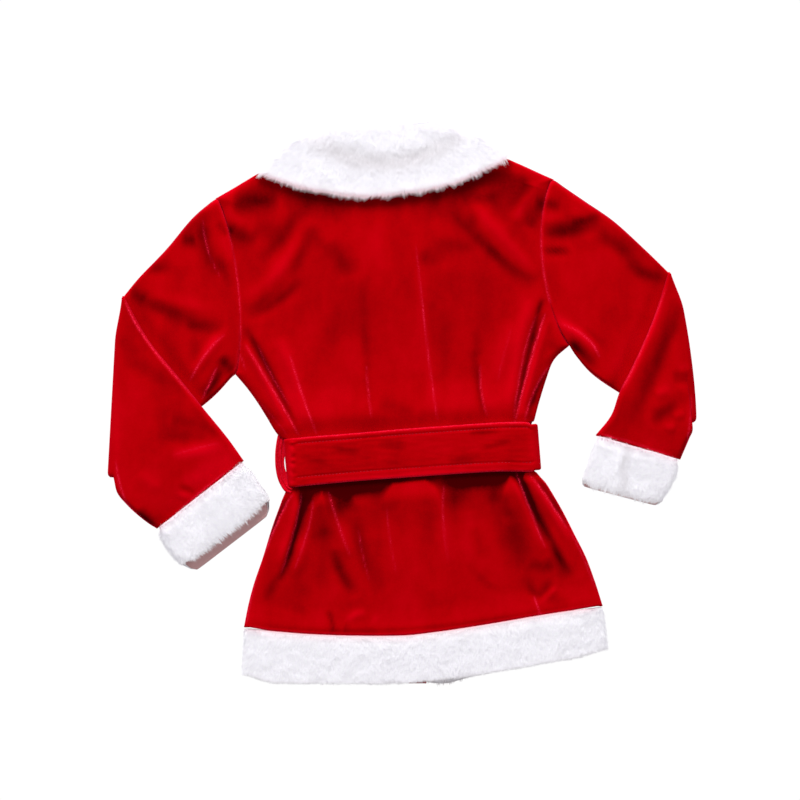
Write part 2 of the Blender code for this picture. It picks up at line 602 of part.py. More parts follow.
def add_tube(name, runs, finish, wall, shares, round_width, spacing=18.0, arc_steps=6, **options):
    """A flattened tube of cloth, open at both ends."""
    options = {"shares": shares, "round_width": round_width, **options}
    outer = runs_to_rings(runs, spacing, arc_steps, **options)
    inner = runs_to_rings(runs, spacing, arc_steps, inset=wall, **options)
    around, count = len(outer[0]), len(outer)
    offset = around * count
    faces = ring_faces(count, around) + ring_faces(count, around, offset, flip=True)
    for c in range(around):
        d = (c + 1) % around
        last = (count - 1) * around
        faces.append((offset + c, offset + d, d, c))
        faces.append((last + c, last + d, offset + last + d, offset + last + c))
    return face_outwards(add_piece(name, np.vstack(outer + inner), faces, finish))


def beyond(line, side):
    """How far a point is clear of a forearm's edge, 0 on or under the forearm to 1 well beyond it."""

    def room(x, y):
        distance, _ = nearest(x, y, line)
        edge_x = np.interp(y, [p[1] for p in line[::-1]], [p[0] for p in line[::-1]])
        return ramp((np.where((x - edge_x) * side > 0.0, distance, 0.0) - 1.0) / 14.0)

    return room


def add_sleeve(name, arm, fore, arm_folds, fore_folds, side):
    edge = [row[:2] for row in fore]
    options = {"tables": (arm_folds, fore_folds), "clears": (beyond(edge, side), None)}
    add_tube(name, (arm, fore), "velvet", WALL, ARMHOLE_SHARES, 5.0, **options)


for old in list(bpy.data.objects):
    bpy.data.objects.remove(old)
jacket = bpy.data.collections.new("santa_jacket")
bpy.context.scene.collection.children.link(jacket)

add_back()
add_front("front_left", True)
add_front("front_right", False)
add_placket()
add_sleeve("sleeve_left", LEFT_ARM, LEFT_FORE, LEFT_ARM_FOLDS, LEFT_FORE_FOLDS, 1.0)
add_sleeve("sleeve_right", RIGHT_ARM, RIGHT_FORE, RIGHT_ARM_FOLDS, RIGHT_FORE_FOLDS, -1.0)
add_tube("cuff_left", (LEFT_CUFF,), "fur", FUR_WALL, CUFF_SHARES, CUFF_HALF, 10.0)
add_tube("cuff_right", (RIGHT_CUFF,), "fur", FUR_WALL, CUFF_SHARES, CUFF_HALF, 10.0)
collar_runs = (COLLAR_LEFT, COLLAR_BACK, COLLAR_RIGHT)
add_band("collar", collar_runs, "fur", COLLAR_SHARES, 6.0, 14.0, pinch=0.15)
add_band("hem_band", (HEM_LEFT, HEM_BACK, HEM_RIGHT), "fur", HEM_SHARES, 4.0, 20.0)
add_band("belt", (BELT_LEFT, BELT_BACK, BELT_RIGHT), "velvet", BELT_SHARES, 0.8)
add_band("belt_loop", (BELT_LOOP,), "velvet", LOOP_SHARES, 1.2, 10.0)
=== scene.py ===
import json
import math

import bpy
import numpy as np
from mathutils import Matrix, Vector, noise
from mathutils.kdtree import KDTree

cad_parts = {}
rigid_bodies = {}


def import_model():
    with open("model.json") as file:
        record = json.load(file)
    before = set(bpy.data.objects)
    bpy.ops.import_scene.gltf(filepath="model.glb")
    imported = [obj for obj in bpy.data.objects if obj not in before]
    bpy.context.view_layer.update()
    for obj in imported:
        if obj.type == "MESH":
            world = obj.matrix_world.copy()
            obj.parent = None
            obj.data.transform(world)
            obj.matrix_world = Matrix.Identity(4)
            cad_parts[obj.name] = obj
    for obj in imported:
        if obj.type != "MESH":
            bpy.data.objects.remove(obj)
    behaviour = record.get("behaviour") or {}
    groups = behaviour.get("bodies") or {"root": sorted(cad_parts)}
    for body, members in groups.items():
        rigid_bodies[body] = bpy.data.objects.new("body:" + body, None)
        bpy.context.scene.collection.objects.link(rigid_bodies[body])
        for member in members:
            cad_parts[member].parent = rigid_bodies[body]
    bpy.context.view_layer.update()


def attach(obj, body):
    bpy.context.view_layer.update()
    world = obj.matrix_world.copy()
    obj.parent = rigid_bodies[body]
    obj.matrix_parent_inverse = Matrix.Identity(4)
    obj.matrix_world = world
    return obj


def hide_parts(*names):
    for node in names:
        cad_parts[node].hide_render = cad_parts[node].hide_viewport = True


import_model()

# A child's Santa jacket laid flat on its front, back up. Tables are in millimetres, +Y towards the collar.

mm = 0.001


# ---- lines, folds and rows that every piece of cloth uses

def ramp(t):  # 0 to 1, smooth at both ends
    t = np.clip(t, 0.0, 1.0)
    return t * t * (3.0 - 2.0 * t)


def fall(t):  # 1 to 0
    return 1.0 - ramp(t)


def lineDistance(x, y, line):  # distance to a line of points, how far along it, and on which side of it
    best = np.full(np.shape(x), 1e9)
    along = np.zeros(np.shape(x))
    side = np.ones(np.shape(x))
    line = np.array(line, float)
    for i, (start, end) in enumerate(zip(line[:-1], line[1:])):
        step = end - start
        dx, dy = x - start[0], y - start[1]
        t = np.clip((dx * step[0] + dy * step[1]) / step.dot(step), 0.0, 1.0)
        distance = np.hypot(dx - t * step[0], dy - t * step[1])
        closer = distance < best
        along = np.where(closer, (i + t) / (len(line) - 1), along)
        side = np.where(closer, np.sign(step[0] * dy - step[1] * dx), side)
        best = np.minimum(best, distance)
    return best, along, side


def toLine(x, y, line):
    return lineDistance(x, y, line)[0]


def bell(t):
    return np.exp(-(t**2))


def bowed(row):  # a curve through the three points that a row begins with
    start, middle, end = np.array(row[:6], float).reshape(3, 2)
    control = 2.0 * middle - 0.5 * (start + end)
    t = np.linspace(0.0, 1.0, 21)[:, None]
    return (1 - t) ** 2 * start + 2 * t * (1 - t) * control + t**2 * end


def folds(x, y, table):  # height that ridges and troughs add: start, middle, end, half width, height
    height = np.zeros(np.shape(x))
    for row in table:
        distance, along, _ = lineDistance(x, y, bowed(row))
        height += row[7] * bell(distance / row[6]) * (1.0 - np.abs(2.0 * along - 1.0) ** 3)
    return height


def creaseMarks(x, y, creases, seams=()):  # distance to the nearest crease, the strength of its painted sheen line, and the painted shade beside it
    x, y = x + 0.5 * wander(x, y, 7.0, 91.0), y + 0.5 * wander(x, y, 7.0, 92.0)  # none runs quite smoothly
    nearest = np.full(np.shape(x), 50.0)
    force, shade = np.zeros(np.shape(x)), np.zeros(np.shape(x))
    lines = [(bowed(row), *(*row[6:], 0.0, 3.0)[:3], 4) for row in creases]
    lines += [(line, strength, 0.0, 2.0, 40) for line, strength in seams]
    for line, strength, dark, reach, taper in lines:
        distance, along, side = lineDistance(x, y, line)
        strong = 1.0 - (2.0 * along - 1.0) ** taper
        force = np.where(distance < nearest, strength * strong * fall((distance - 2.0) / 2.5), force)
        beside = bell(np.maximum(distance - 1.0, 0.0) / reach) * ramp((distance - 0.2) / 0.8)
        shade -= dark * strong * beside * (side > 0)
        nearest = np.minimum(nearest, distance)
    return nearest, force, shade


def edgeShade(x, y, line, reach, depth):  # shade that fades below a line from left to right, faster above it
    distance, _, side = lineDistance(x, y, line)
    distance = np.where(side > 0, 2.5 * distance, distance)
    return -depth * fall((distance - 0.15 * reach) / reach)


def smoothRows(rows, spacing):  # rows through the given ones on a Catmull-Rom curve
    rows = np.array(rows, float)
    padded = np.vstack([2 * rows[0] - rows[1], rows, 2 * rows[-1] - rows[-2]])
    made = [rows[0]]
    for i in range(len(rows) - 1):
        before, start, end, after = padded[i : i + 4]
        length = max(math.dist(start[:2], end[:2]), math.dist(start[2:4], end[2:4]))
        steps = max(1, round(length / spacing))
        for t in np.arange(1, steps + 1) / steps:
            bend = 2 * start + (end - before) * t + (2 * before - 5 * start + 4 * end - after) * t**2
            made.append(0.5 * (bend + (3 * start - 3 * end + after - before) * t**3))
    return np.array(made)


def spread(count, crowd):  # shares from 0 to 1, closer together at both ends
    t = np.linspace(0.0, 1.0, count)
    return (1.0 - crowd) * t + crowd * (1.0 - np.cos(math.pi * t)) / 2.0


def wander(x, y, scale, seed):  # slow, even noise from -1 to 1
    place = np.stack([x / scale, y / scale, np.full(np.shape(x), float(seed))], axis=-1).reshape(-1, 3)
    return np.array([noise.noise(Vector(p)) for p in place]).reshape(np.shape(x))


# ---- the cut of the jacket, shared by the pieces that lie on each other

cut = {
    "wall": 2.0, "gap": 0.3, "shellWall": 1.4, "centreFront": 13.0, "beltWall": 3.0, "beltSeat": 10.0,
    "beltHalf": 24.0, "frontCollar": 6.0, "frontFur": 5.0, "collarSeat": 12.1, "hemMiddle": 11.6,
    "armHalf": 2.3, "foreMiddle": 9.1, "cuffHalf": 7.5, "loft": 4.4, "bunch": 0.7, "seamArch": 2.4,
    "armholeLength": 158.0,
    "skirtRow": 11,  # from this row of the body on, the rows turn to the hem's curve
    "rounding": 11.0,
    "beltLine": (-46.0, 0.061),  # height at the middle, slope
    # how far from the belt's line and the collar's the front still lifts what lies on it, and over what width
    "steepLift": ((41.0, 14.0), (62.0, 26.0)),
    "gentleLift": ((70.0, 44.0), (126.0, 92.0)),
    "hemLift": (1.5, 14.0, 12.0),
    # left x, left y, left pleat x, right pleat x, right x, right y, from underarm to hem seam
    "bodyRows": (
        (-151, 27, -120, 114, 150, 53), (-140, 14, -113, 110, 136, 40), (-130, 0, -104, 107, 129, 23),
        (-117, -21, -95, 102, 121, -3), (-113, -27, -93, 100.5, 118.8, -11.5),
        (-108, -31.6, -91.7, 100.2, 117.6, -15.4), (-100, -34.5, -91, 100, 115.2, -18.5),
        (-97.5, -53, -88.5, 101, 115.5, -39), (-95, -71, -87, 104, 117, -57.5),
        (-104, -76.5, -88.2, 105.2, 120.5, -62), (-107, -82.5, -89.5, 106.6, 124.6, -67),
        (-112, -95, -92, 110, 131, -75), (-118.5, -113, -96, 121, 143, -95),
        (-126, -137, -103, 132, 154.5, -117), (-133.5, -159, -113, 143, 164.5, -137),
        (-139, -180, -124, 155, 172.5, -159), (-143, -200.5, -133, 166, 179.5, -181),
    ),
    # share of the armhole, left pleat x, right pleat x, share of the neck's rise
    "yokeRows": (
        (0, -150, 122, 1), (0.12, -147, 117, 0.68), (0.25, -141, 112, 0.4), (0.4, -138, 112, 0.17),
        (0.55, -137, 117, 0.04), (0.7, -138, 122, 0), (0.88, -130, 120, 0), (1, -120, 114, 0),
    ),
    # shoulder x, y, underarm x, y, bow of the seam
    "leftArmhole": (-168.0, 185.0, -151.0, 27.0, 11.0), "rightArmhole": (135.0, 202.0, 150.0, 53.0, -17.0),
    # x, rise of the back's neck, rise of the fronts' neck
    "neckRise": (
        (-168, 0, 0), (-93, 39, 39), (-68, 33, 32), (-50, 29, 13), (-25, 27, 0), (13, 29, -9), (30, 33, 0),
        (44, 37, 28), (60, 37, 37), (135, 0, 0),
    ),
}

half, fore, cuffHalf, hemMiddle, beltMiddleHeight = (
    cut["armHalf"], cut["foreMiddle"], cut["cuffHalf"], cut["hemMiddle"], cut["beltSeat"] + 1.9)


# Sections of a tube or band: end a (x, y), end b (x, y), middle height, reach of its two sides, bow along x.
def sections(middle, reach, *rows):  # for a level band: the two ends, and the reach where it differs
    return [(*row[:4], middle, *(row[4:] or (reach, reach)), 0) for row in rows]


collarCut = {
    "left": sections(3, 3, (9, 186, 9, 136), (-25, 193, -38, 143), (-50, 207, -80, 158),
        (-70, 228, -110, 182), (-78, 243, -128, 207)),
    "back": sections(17, 4.5, (-78, 243, -128, 207, 4, 4), (-70, 249, -110, 201, 4.5, 4.8),
        (-51, 250, -86, 194, 4.5, 5.2), (-32, 251, -58, 189, 4.5, 5.4), (-13, 252.5, -30, 187, 4.5, 5.4),
        (5, 254, -4, 189.5, 4.5, 5.4), (20, 255.5, 21, 193, 4.5, 5.4), (34, 255, 46, 199, 4.5, 5.2),
        (48, 251, 72, 210, 4.5, 4.8), (52, 246, 92.5, 220.5, 4, 4)),
    "right": sections(3, 3, (52, 246, 92.5, 220.5), (46, 228, 84, 188), (37, 207, 64, 160),
        (27, 193, 38, 144), (17, 186, 17, 136)),
}

hemCut = {
    "left": sections(2.5, 2.5, (7, -208, 7.5, -251), (-10, -208.6, -10, -253), (-50, -208.6, -50, -251),
        (-100, -206.4, -99, -248), (-137, -203, -138, -242.5)),
    "back": sections(hemMiddle, 4, (-137, -203, -139, -244.5, 3.8, 3.8), (-120, -204.5, -119, -251),
        (-88, -207.2, -88, -251.6), (-55, -208.6, -55, -252), (-20, -209, -22, -252), (5, -208.4, 2, -251),
        (35, -204.8, 31, -248.5), (62, -200.8, 60, -245), (91, -196, 90, -240), (120, -191, 120, -235),
        (150, -186.4, 152, -229.5), (174, -184, 178.5, -222, 3.8, 3.8)),
    "right": sections(2.5, 2.5, (174, -184, 178.5, -222), (130, -189.4, 130, -232), (83, -197.4, 84, -242),
        (62, -200.8, 62, -247.5), (45, -203.4, 45, -252.5), (35, -204.8, 35, -254),
        (19.5, -206.8, 19.5, -252.5)),
}


def middleLine(run):
    return [((ax + bx) / 2, (ay + by) / 2) for ax, ay, bx, by, *_ in run]


def runsOf(table):
    return [table[key] for key in ("left", "back", "right")]


def edgesOf(run):  # the line of its ends a, and the line of its ends b
    return [row[:2] for row in run], [row[2:4] for row in run]


frontCollarLine = middleLine(collarCut["left"][::-1] + collarCut["right"][::-1])
backCollarLine = middleLine(collarCut["back"])
collarTop, collarBottom = edgesOf(collarCut["back"])
hemTop, hemBottom = edgesOf(hemCut["back"])


def beltMiddle(x):
    return cut["beltLine"][0] + cut["beltLine"][1] * x


def hemSeam(x):
    seam = np.array(hemTop, float)
    seam[[0, -1], 1] += 1.6
    return np.interp(x, seam[:, 0], seam[:, 1])


def liftOver(x, y, reaches):
    (beltReach, beltFade), (collarReach, collarFade) = reaches
    onBelt = (cut["beltWall"] + cut["gap"]) * ramp((beltReach - np.abs(y - beltMiddle(x))) / beltFade)
    toCollar = toLine(x, y, frontCollarLine)
    return np.maximum(onBelt, (cut["frontCollar"] + cut["gap"]) * ramp((collarReach - toCollar) / collarFade))


def frontLift(x, y):  # the fronts lie on the floor, and on the belt, collar and hem of the front
    rise, reach, fade = cut["hemLift"]
    return np.maximum(liftOver(x, y, cut["steepLift"]), rise * ramp((reach + hemSeam(x) - y) / fade))


def armhole(side, t):
    x0, y0, x1, y1, bow = side
    return x0 + (x1 - x0) * t + bow * (4.0 * t * (1.0 - t)) ** 0.8, y0 + (y1 - y0) * t


def bodyRows(spacing):  # left x, y, right x, y, left and right pleat x, the neck's share, the seam's arch
    yoke = np.array(cut["yokeRows"])
    rows = []
    for t in spread(round(cut["armholeLength"] / spacing), 0.25)[:-1]:
        leftPleat, rightPleat, rise = (np.interp(t, yoke[:, 0], yoke[:, k]) for k in (1, 2, 3))
        sides = (*armhole(cut["leftArmhole"], t), *armhole(cut["rightArmhole"], t))
        rows.append((*sides, leftPleat, rightPleat, rise, cut["seamArch"] * math.sin(math.pi * t)))
    rest = [(a, b, e, f, c, d, 0.0, 0.0) for a, b, c, d, e, f in cut["bodyRows"]]
    return np.vstack([rows, smoothRows(rest, spacing)])


def rowHeights(row, x, column):  # y along a row, with the neck's rise and the hem seam's curve
    leftX, leftY, rightX, rightY, _, _, rise, _ = row
    straight = leftY + (rightY - leftY) * (x - leftX) / (rightX - leftX)
    firstX, firstY, _, _, lastX, lastY = cut["bodyRows"][-1]
    lowest = firstY + (lastY - firstY) * (x - firstX) / (lastX - firstX)
    skirtY = cut["bodyRows"][cut["skirtRow"]][1]
    nearHem = ramp((skirtY - leftY) / (skirtY - firstY))
    neck = np.array(cut["neckRise"])
    rises = np.interp(x, neck[:, 0], neck[:, column])
    return straight + rise * rises + nearHem * (hemSeam(x) + 0.9 - lowest)


# ---- tubes and bands, laid in runs that are folded over on each other

# The points round one section. turn is how far it is folded over, and pinch how flat the fold is.
def ring(section, shares, rounding, turn=0.0, normal=(0, 0), radius=0.0, pinch=(1.0, 0.6), inset=0.0,
         form=None):
    ax, ay, bx, by, middle, first, second, bow = section
    width = math.hypot(bx - ax, by - ay)
    u = (inset + (width - 2.0 * inset) * shares) / width
    x = ax + (bx - ax) * u + bow * (4.0 * u * (1.0 - u)) ** 0.8
    y = ay + (by - ay) * u
    fromEnd = np.minimum(shares, 1.0 - shares) * (width - 2.0 * inset)
    crown = np.sqrt(1.0 - (1.0 - np.clip(fromEnd / max(rounding - inset, 0.3), 0.0, 1.0)) ** 2)
    up, out = math.cos(turn), abs(math.sin(turn)) * (pinch[0] + (1.0 - pinch[0]) * ramp(u / pinch[1]))
    sides = []
    for reach, sign in ((first, 1.0), (second, -1.0)):
        reach = max(reach - inset, 0.16) * np.ones_like(u)
        if form and sign * up > 0.5:
            reach = np.maximum(form(x, y, u * width, width * (1.0 - u), reach), 0.3)
        lift = sign * reach * crown
        sideX = x + out * (radius - lift) * normal[0]
        sideY = y + out * (radius - lift) * normal[1]
        sides.append(np.stack([sideX, sideY, np.maximum(middle + lift * up, 0.0)], axis=-1))
    return np.vstack([sides[0], sides[1][::-1][1:-1]])


def runsToRings(runs, spacings, arcSteps, forms, **options):
    rings, upper = [], []  # upper: 1 where a ring's first side is up, -1 where its second is, 0 on a fold
    for number, run in enumerate(runs):
        turn = math.pi * (number % 2)
        for section in smoothRows(run, spacings[number]):
            rings.append(ring(section, turn=turn, form=forms[number], **options))
            upper.append(1 - 2 * (number % 2))
        if number + 1 == len(runs):
            break
        last, following = np.array(run[-1], float), np.array(runs[number + 1][0], float)
        inward = np.array(run[-2][:4], float).reshape(2, 2).mean(axis=0)
        chord = last[2:4] - last[:2]
        normal = np.array([chord[1], -chord[0]]) / math.hypot(*chord)
        if normal.dot(last[:4].reshape(2, 2).mean(axis=0) - inward) < 0:
            normal = -normal
        radius = abs(following[4] - last[4]) / 2.0
        for step in range(1, arcSteps):
            share = step / arcSteps
            angle = math.pi * share
            section = last + (following - last) * share
            section[4] = last[4] + (following[4] - last[4]) * (1.0 - math.cos(angle)) / 2.0
            angle = angle if number % 2 == 0 else math.pi - angle
            rings.append(ring(section, turn=angle, normal=normal, radius=radius, **options))
            upper.append(0)
    return np.array(rings), np.array(upper)


def gridFaces(rows, columns, closed=False):
    r, c = np.meshgrid(np.arange(rows - 1), np.arange(columns if closed else columns - 1), indexing="ij")
    here, beside = r * columns + c, r * columns + (c + 1) % columns
    return np.stack([here, beside, beside + columns, here + columns], axis=-1).reshape(-1, 4)


def capFaces(rows, columns):  # closes both ends of a band
    side = (columns + 2) // 2
    faces = []
    for base, turned in ((0, False), ((rows - 1) * columns, True)):
        far = base + columns
        cap = [(base + c, base + c + 1, far - c - 1, far - c) for c in range(1, side - 2)]
        cap += [(base, base + 1, far - 1), (base + side - 2, base + side - 1, base + side)]
        faces += [face if turned else face[::-1] for face in cap]
    return faces


def rodFaces(rows, around):  # a rod with flat ends
    ends = [list(range(around))[::-1], list(range((rows - 1) * around, rows * around))]
    return gridFaces(rows, around, closed=True).tolist() + ends


# ---- meshes

def selectOnly(piece):
    for other in bpy.context.view_layer.objects:
        other.select_set(False)
    piece.select_set(True)
    bpy.context.view_layer.objects.active = piece


def newObject(name, data):
    made = bpy.data.objects.new(name, data)
    bpy.context.scene.collection.objects.link(made)
    return made


def setMarks(mesh, marks):
    for mark, values in marks.items():
        values = np.asarray(values, np.float32).ravel()
        mesh.attributes.new(mark, "FLOAT", "POINT").data.foreach_set("value", values)


def addMesh(name, points, faces, material, marks=None):
    mesh = bpy.data.meshes.new(name)
    points = np.asarray(points).reshape(-1, 3) * mm
    mesh.from_pydata(points.tolist(), [], faces if isinstance(faces, list) else faces.tolist())
    setMarks(mesh, marks or {})
    mesh.materials.append(material)
    mesh.shade_smooth()
    return newObject(name, mesh)


def faceOutwards(piece):
    selectOnly(piece)
    bpy.ops.object.mode_set(mode="EDIT")
    bpy.ops.mesh.select_all(action="SELECT")
    bpy.ops.mesh.normals_make_consistent(inside=False)
    bpy.ops.object.mode_set(mode="OBJECT")
    return piece


def giveWall(piece, thickness, innerMaterial=0):  # a wall on the inner side of an open surface
    selectOnly(piece)
    wall = piece.modifiers.new("wall", "SOLIDIFY")
    wall.thickness, wall.offset, wall.material_offset = thickness * mm, -1.0, innerMaterial
    bpy.ops.object.modifier_apply(modifier="wall")
    return piece


def finishPiece(piece, slotName, *nodes):
    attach(piece, "root")
    if nodes:
        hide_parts(*nodes)
    return piece


def addSheet(name, x, y, z, marks, wall, node):  # open cloth, its outside up
    piece = addMesh(name, np.stack([x, y, z], axis=-1), gridFaces(*x.shape)[:, ::-1], velvet, marks)
    return finishPiece(giveWall(piece, wall), "velvet", node)


def addTube(name, rings, materials, marks, wall, slotName, node):  # materials: outside, then inside
    piece = addMesh(name, rings, gridFaces(*rings.shape[:2], closed=True), materials[0], marks)
    for inner in materials[1:]:
        piece.data.materials.append(inner)
    centre = Vector(tuple(rings[2].mean(axis=0) * mm))
    face = piece.data.polygons[2 * rings.shape[1] + rings.shape[1] // 4]
    if face.normal.dot(face.center - centre) < 0:  # the faces look in
        piece.data.flip_normals()
    return finishPiece(giveWall(piece, wall, len(materials) - 1), slotName, node)


# ---- materials

def newNode(tree, kind, **settings):
    node = tree.nodes.new(kind)
    row, column = divmod(len(tree.nodes), 8)
    node.location = (200 * column - 900, -240 * row)
    for key, value in settings.items():
        setattr(node, key, value)
    return node


def feed(tree, sockets, values):  # a link, a colour or a number into each input
    for key, value in values.items():
        if isinstance(value, bpy.types.NodeSocket):
            tree.links.new(value, sockets[key])
        else:
            sockets[key].default_value = (*value, 1.0) if sockets[key].type == "RGBA" else value


def nodeGroup(name, inputs, outputs):
    group = bpy.data.node_groups.new(name, "ShaderNodeTree")
    for way, labels in (("INPUT", inputs), ("OUTPUT", outputs)):
        for label, kind in labels.items():
            group.interface.new_socket(label, in_out=way, socket_type="NodeSocket" + kind)
    return group, newNode(group, "NodeGroupInput").outputs, newNode(group, "NodeGroupOutput").inputs


def mathNode(tree, operation, *values, clamp=False):
    node = newNode(tree, "ShaderNodeMath", operation=operation, use_clamp=clamp)
    feed(tree, node.inputs, dict(enumerate(values)))
    return node.outputs[0]


def noiseNode(tree, vector, scale, detail, roughness):
    node = newNode(tree, "ShaderNodeTexNoise")
    feed(tree, node.inputs, {"Vector": vector, "Scale": scale, "Detail": detail, "Roughness": roughness})
    return node.outputs["Fac"]


def vectorNode(tree, operation, first, second):
    node = newNode(tree, "ShaderNodeVectorMath", operation=operation)
    feed(tree, node.inputs, {0: first, 1: second})
    return node.outputs


def mixColours(tree, factor, first, second):
    node = newNode(tree, "ShaderNodeMix", data_type="RGBA")
    feed(tree, node.inputs, {0: factor, 6: first, 7: second})
    return node.outputs[2]


velvetLook = {
    # the velvet's own colour is mid; the other two are a painted lit copy and a painted shaded copy of it
    "paintedShadeColour": (0.055, 0.0, 0.0005),
    "mid": (0.445, 0.0, 0.002),
    "light": (0.72, 0.0, 0.008),
    "paintedCreaseSheen": (0.92, 0.02, 0.07),
    "broad": (38.0, 3.0, 0.55),  # scale, detail and roughness of a noise
    "fine": (500.0, 3.0, 0.75),
    "speck": (950.0, 2.0, 0.7),
    "broadShare": 0.9,
    "fineShare": 0.35,
    "evenShading": 0.625,  # level of painted shading and random mottling that is neither light nor dark
    "drawn": (1.0, 0.5, 1.0),
    "lineWidth": 0.6,
    "haloWidth": 1.2,
    "broken": (6.0, -2.7),
    "patchy": (1.8, -0.65),
    "paintedSlopeShade": (-0.1, 0.7, 0.0),  # painted shade by slope: slopes that face the collar are painted lighter, those facing away darker
    "sheenTint": (1.0, 0.02, 0.09),
    "paintedGrazingSheen": (0.75, 0.006, 0.03),  # painted sheen: colour of the edges that are seen from the side
    "grazingBlend": 0.35,
    "grazingShare": 0.55,
    "bump": (0.25, 0.0004),
}


def velvetPattern():  # how light the painted shading and the random mottling of the nap lie, and the broken painted sheen line along a crease
    group, given, made = nodeGroup(
        "velvetPattern",
        {"Place": "Vector", "Painted Shading": "Float", "Crease Distance": "Float", "Crease Force": "Float",
         "Facing": "Vector"},
        {"Colour": "Color", "Height": "Float"})
    place, distance = given["Place"], given["Crease Distance"]
    # painted light and shade by the way each slope faces
    along = vectorNode(group, "DOT_PRODUCT", given["Facing"], velvetLook["paintedSlopeShade"])["Value"]
    drawn = vectorNode(group, "MULTIPLY", place, velvetLook["drawn"])[0]
    broad = noiseNode(group, drawn, *velvetLook["broad"])
    fine, speck = (noiseNode(group, place, *velvetLook[kind]) for kind in ("fine", "speck"))
    toneAndShade = mathNode(group, "MULTIPLY_ADD", broad, velvetLook["broadShare"], given["Painted Shading"])
    toneAndShade = mathNode(group, "MULTIPLY_ADD", fine, velvetLook["fineShare"], toneAndShade)
    toneAndShade = mathNode(group, "SUBTRACT", mathNode(group, "ADD", toneAndShade, along), velvetLook["evenShading"])
    lighter, darker = (mathNode(group, "MULTIPLY", toneAndShade, way, clamp=True) for way in (1.0, -1.0))
    colour = mixColours(group, lighter, velvetLook["mid"], velvetLook["light"])
    colour = mixColours(group, darker, colour, velvetLook["paintedShadeColour"])
    squared = mathNode(group, "MULTIPLY", distance, distance)
    narrow, wide = (
        mathNode(group, "EXPONENT", mathNode(group, "DIVIDE", squared, -(velvetLook[width] ** 2)))
        for width in ("lineWidth", "haloWidth"))
    broken, patchy = (
        mathNode(group, "MULTIPLY_ADD", speck, *velvetLook[kind], clamp=True)
        for kind in ("broken", "patchy"))
    halo = mathNode(group, "MULTIPLY", wide, patchy)
    line = mathNode(group, "ADD", mathNode(group, "MULTIPLY", narrow, broken), halo)
    line = mathNode(group, "MULTIPLY", line, given["Crease Force"], clamp=True)
    feed(group, made, {"Colour": mixColours(group, line, colour, velvetLook["paintedCreaseSheen"]), "Height": fine})
    return group


def readMark(tree, name):
    return newNode(tree, "ShaderNodeAttribute", attribute_name=name).outputs["Fac"]


def startMaterial(name):
    made = bpy.data.materials.new(name)
    made.use_nodes = True
    return made, made.node_tree, made.node_tree.nodes["Principled BSDF"]


def makeVelvet(name, pattern):
    made, tree, shader = startMaterial(name)
    where = newNode(tree, "ShaderNodeTexCoord").outputs
    use = newNode(tree, "ShaderNodeGroup", node_tree=pattern)
    feed(tree, use.inputs, {
        "Place": where["Object"], "Facing": where["Normal"], "Painted Shading": readMark(tree, "nap"),
        "Crease Distance": readMark(tree, "creaseDistance"), "Crease Force": readMark(tree, "creaseForce")})
    edge = newNode(tree, "ShaderNodeLayerWeight")
    feed(tree, edge.inputs, {"Blend": velvetLook["grazingBlend"]})
    paintedGrazingSheen = mathNode(tree, "POWER", edge.outputs["Facing"], 2.0)
    paintedGrazingSheen = mathNode(tree, "MULTIPLY", paintedGrazingSheen, velvetLook["grazingShare"], clamp=True)
    bump = newNode(tree, "ShaderNodeBump")
    strength, height = velvetLook["bump"]
    feed(tree, bump.inputs, {"Strength": strength, "Distance": height, "Height": use.outputs["Height"]})
    feed(tree, shader.inputs, {
        "Base Color": mixColours(tree, paintedGrazingSheen, use.outputs["Colour"], velvetLook["paintedGrazingSheen"]),
        "Normal": bump.outputs["Normal"], "Roughness": 0.9, "Specular IOR Level": 0.0,
        "Sheen Weight": 0.4, "Sheen Roughness": 0.35, "Sheen Tint": velvetLook["sheenTint"]})
    return made


def makeFur(name, root, tip, glow):
    made, tree, shader = startMaterial(name)
    colour = mixColours(tree, mathNode(tree, "POWER", readMark(tree, "along"), 0.7), root, tip)
    colour = mixColours(tree, readMark(tree, "shade"), colour, (0.50, 0.455, 0.47))
    # painted red reflection of the velvet near the seams
    colour = mixColours(tree, readMark(tree, "blush"), colour, (0.80, 0.16, 0.24))
    # painted light: the fur glows, by its lit mark and a small even glow
    feed(tree, shader.inputs, {
        "Base Color": colour, "Emission Color": colour, "Roughness": 0.8, "Specular IOR Level": 0.15,
        "Emission Strength": mathNode(tree, "ADD", readMark(tree, "lit"), glow)})
    return made


def makePlain(name, colour, roughness):
    made, tree, shader = startMaterial(name)
    feed(tree, shader.inputs, {"Base Color": colour, "Roughness": roughness, "Specular IOR Level": 0.1})
    return made


velvet = makeVelvet("velvet", velvetPattern())
furStrands = makeFur("furStrands", (0.86, 0.85, 0.89), (0.93, 0.922, 0.95), 0.12)
furGround = makeFur("furGround", (0.80, 0.78, 0.82), (0.80, 0.78, 0.82), 0.05)
# the cuffs' inside, coloured as fur in painted shade with a painted red reflection
paintedShadeBacking = makePlain("paintedShadeBacking", (0.66, 0.39, 0.39), 0.95)
thread = makePlain("thread", (0.42, 0.013, 0.028), 0.8)
print("materials made")


# ---- the back, with its folds

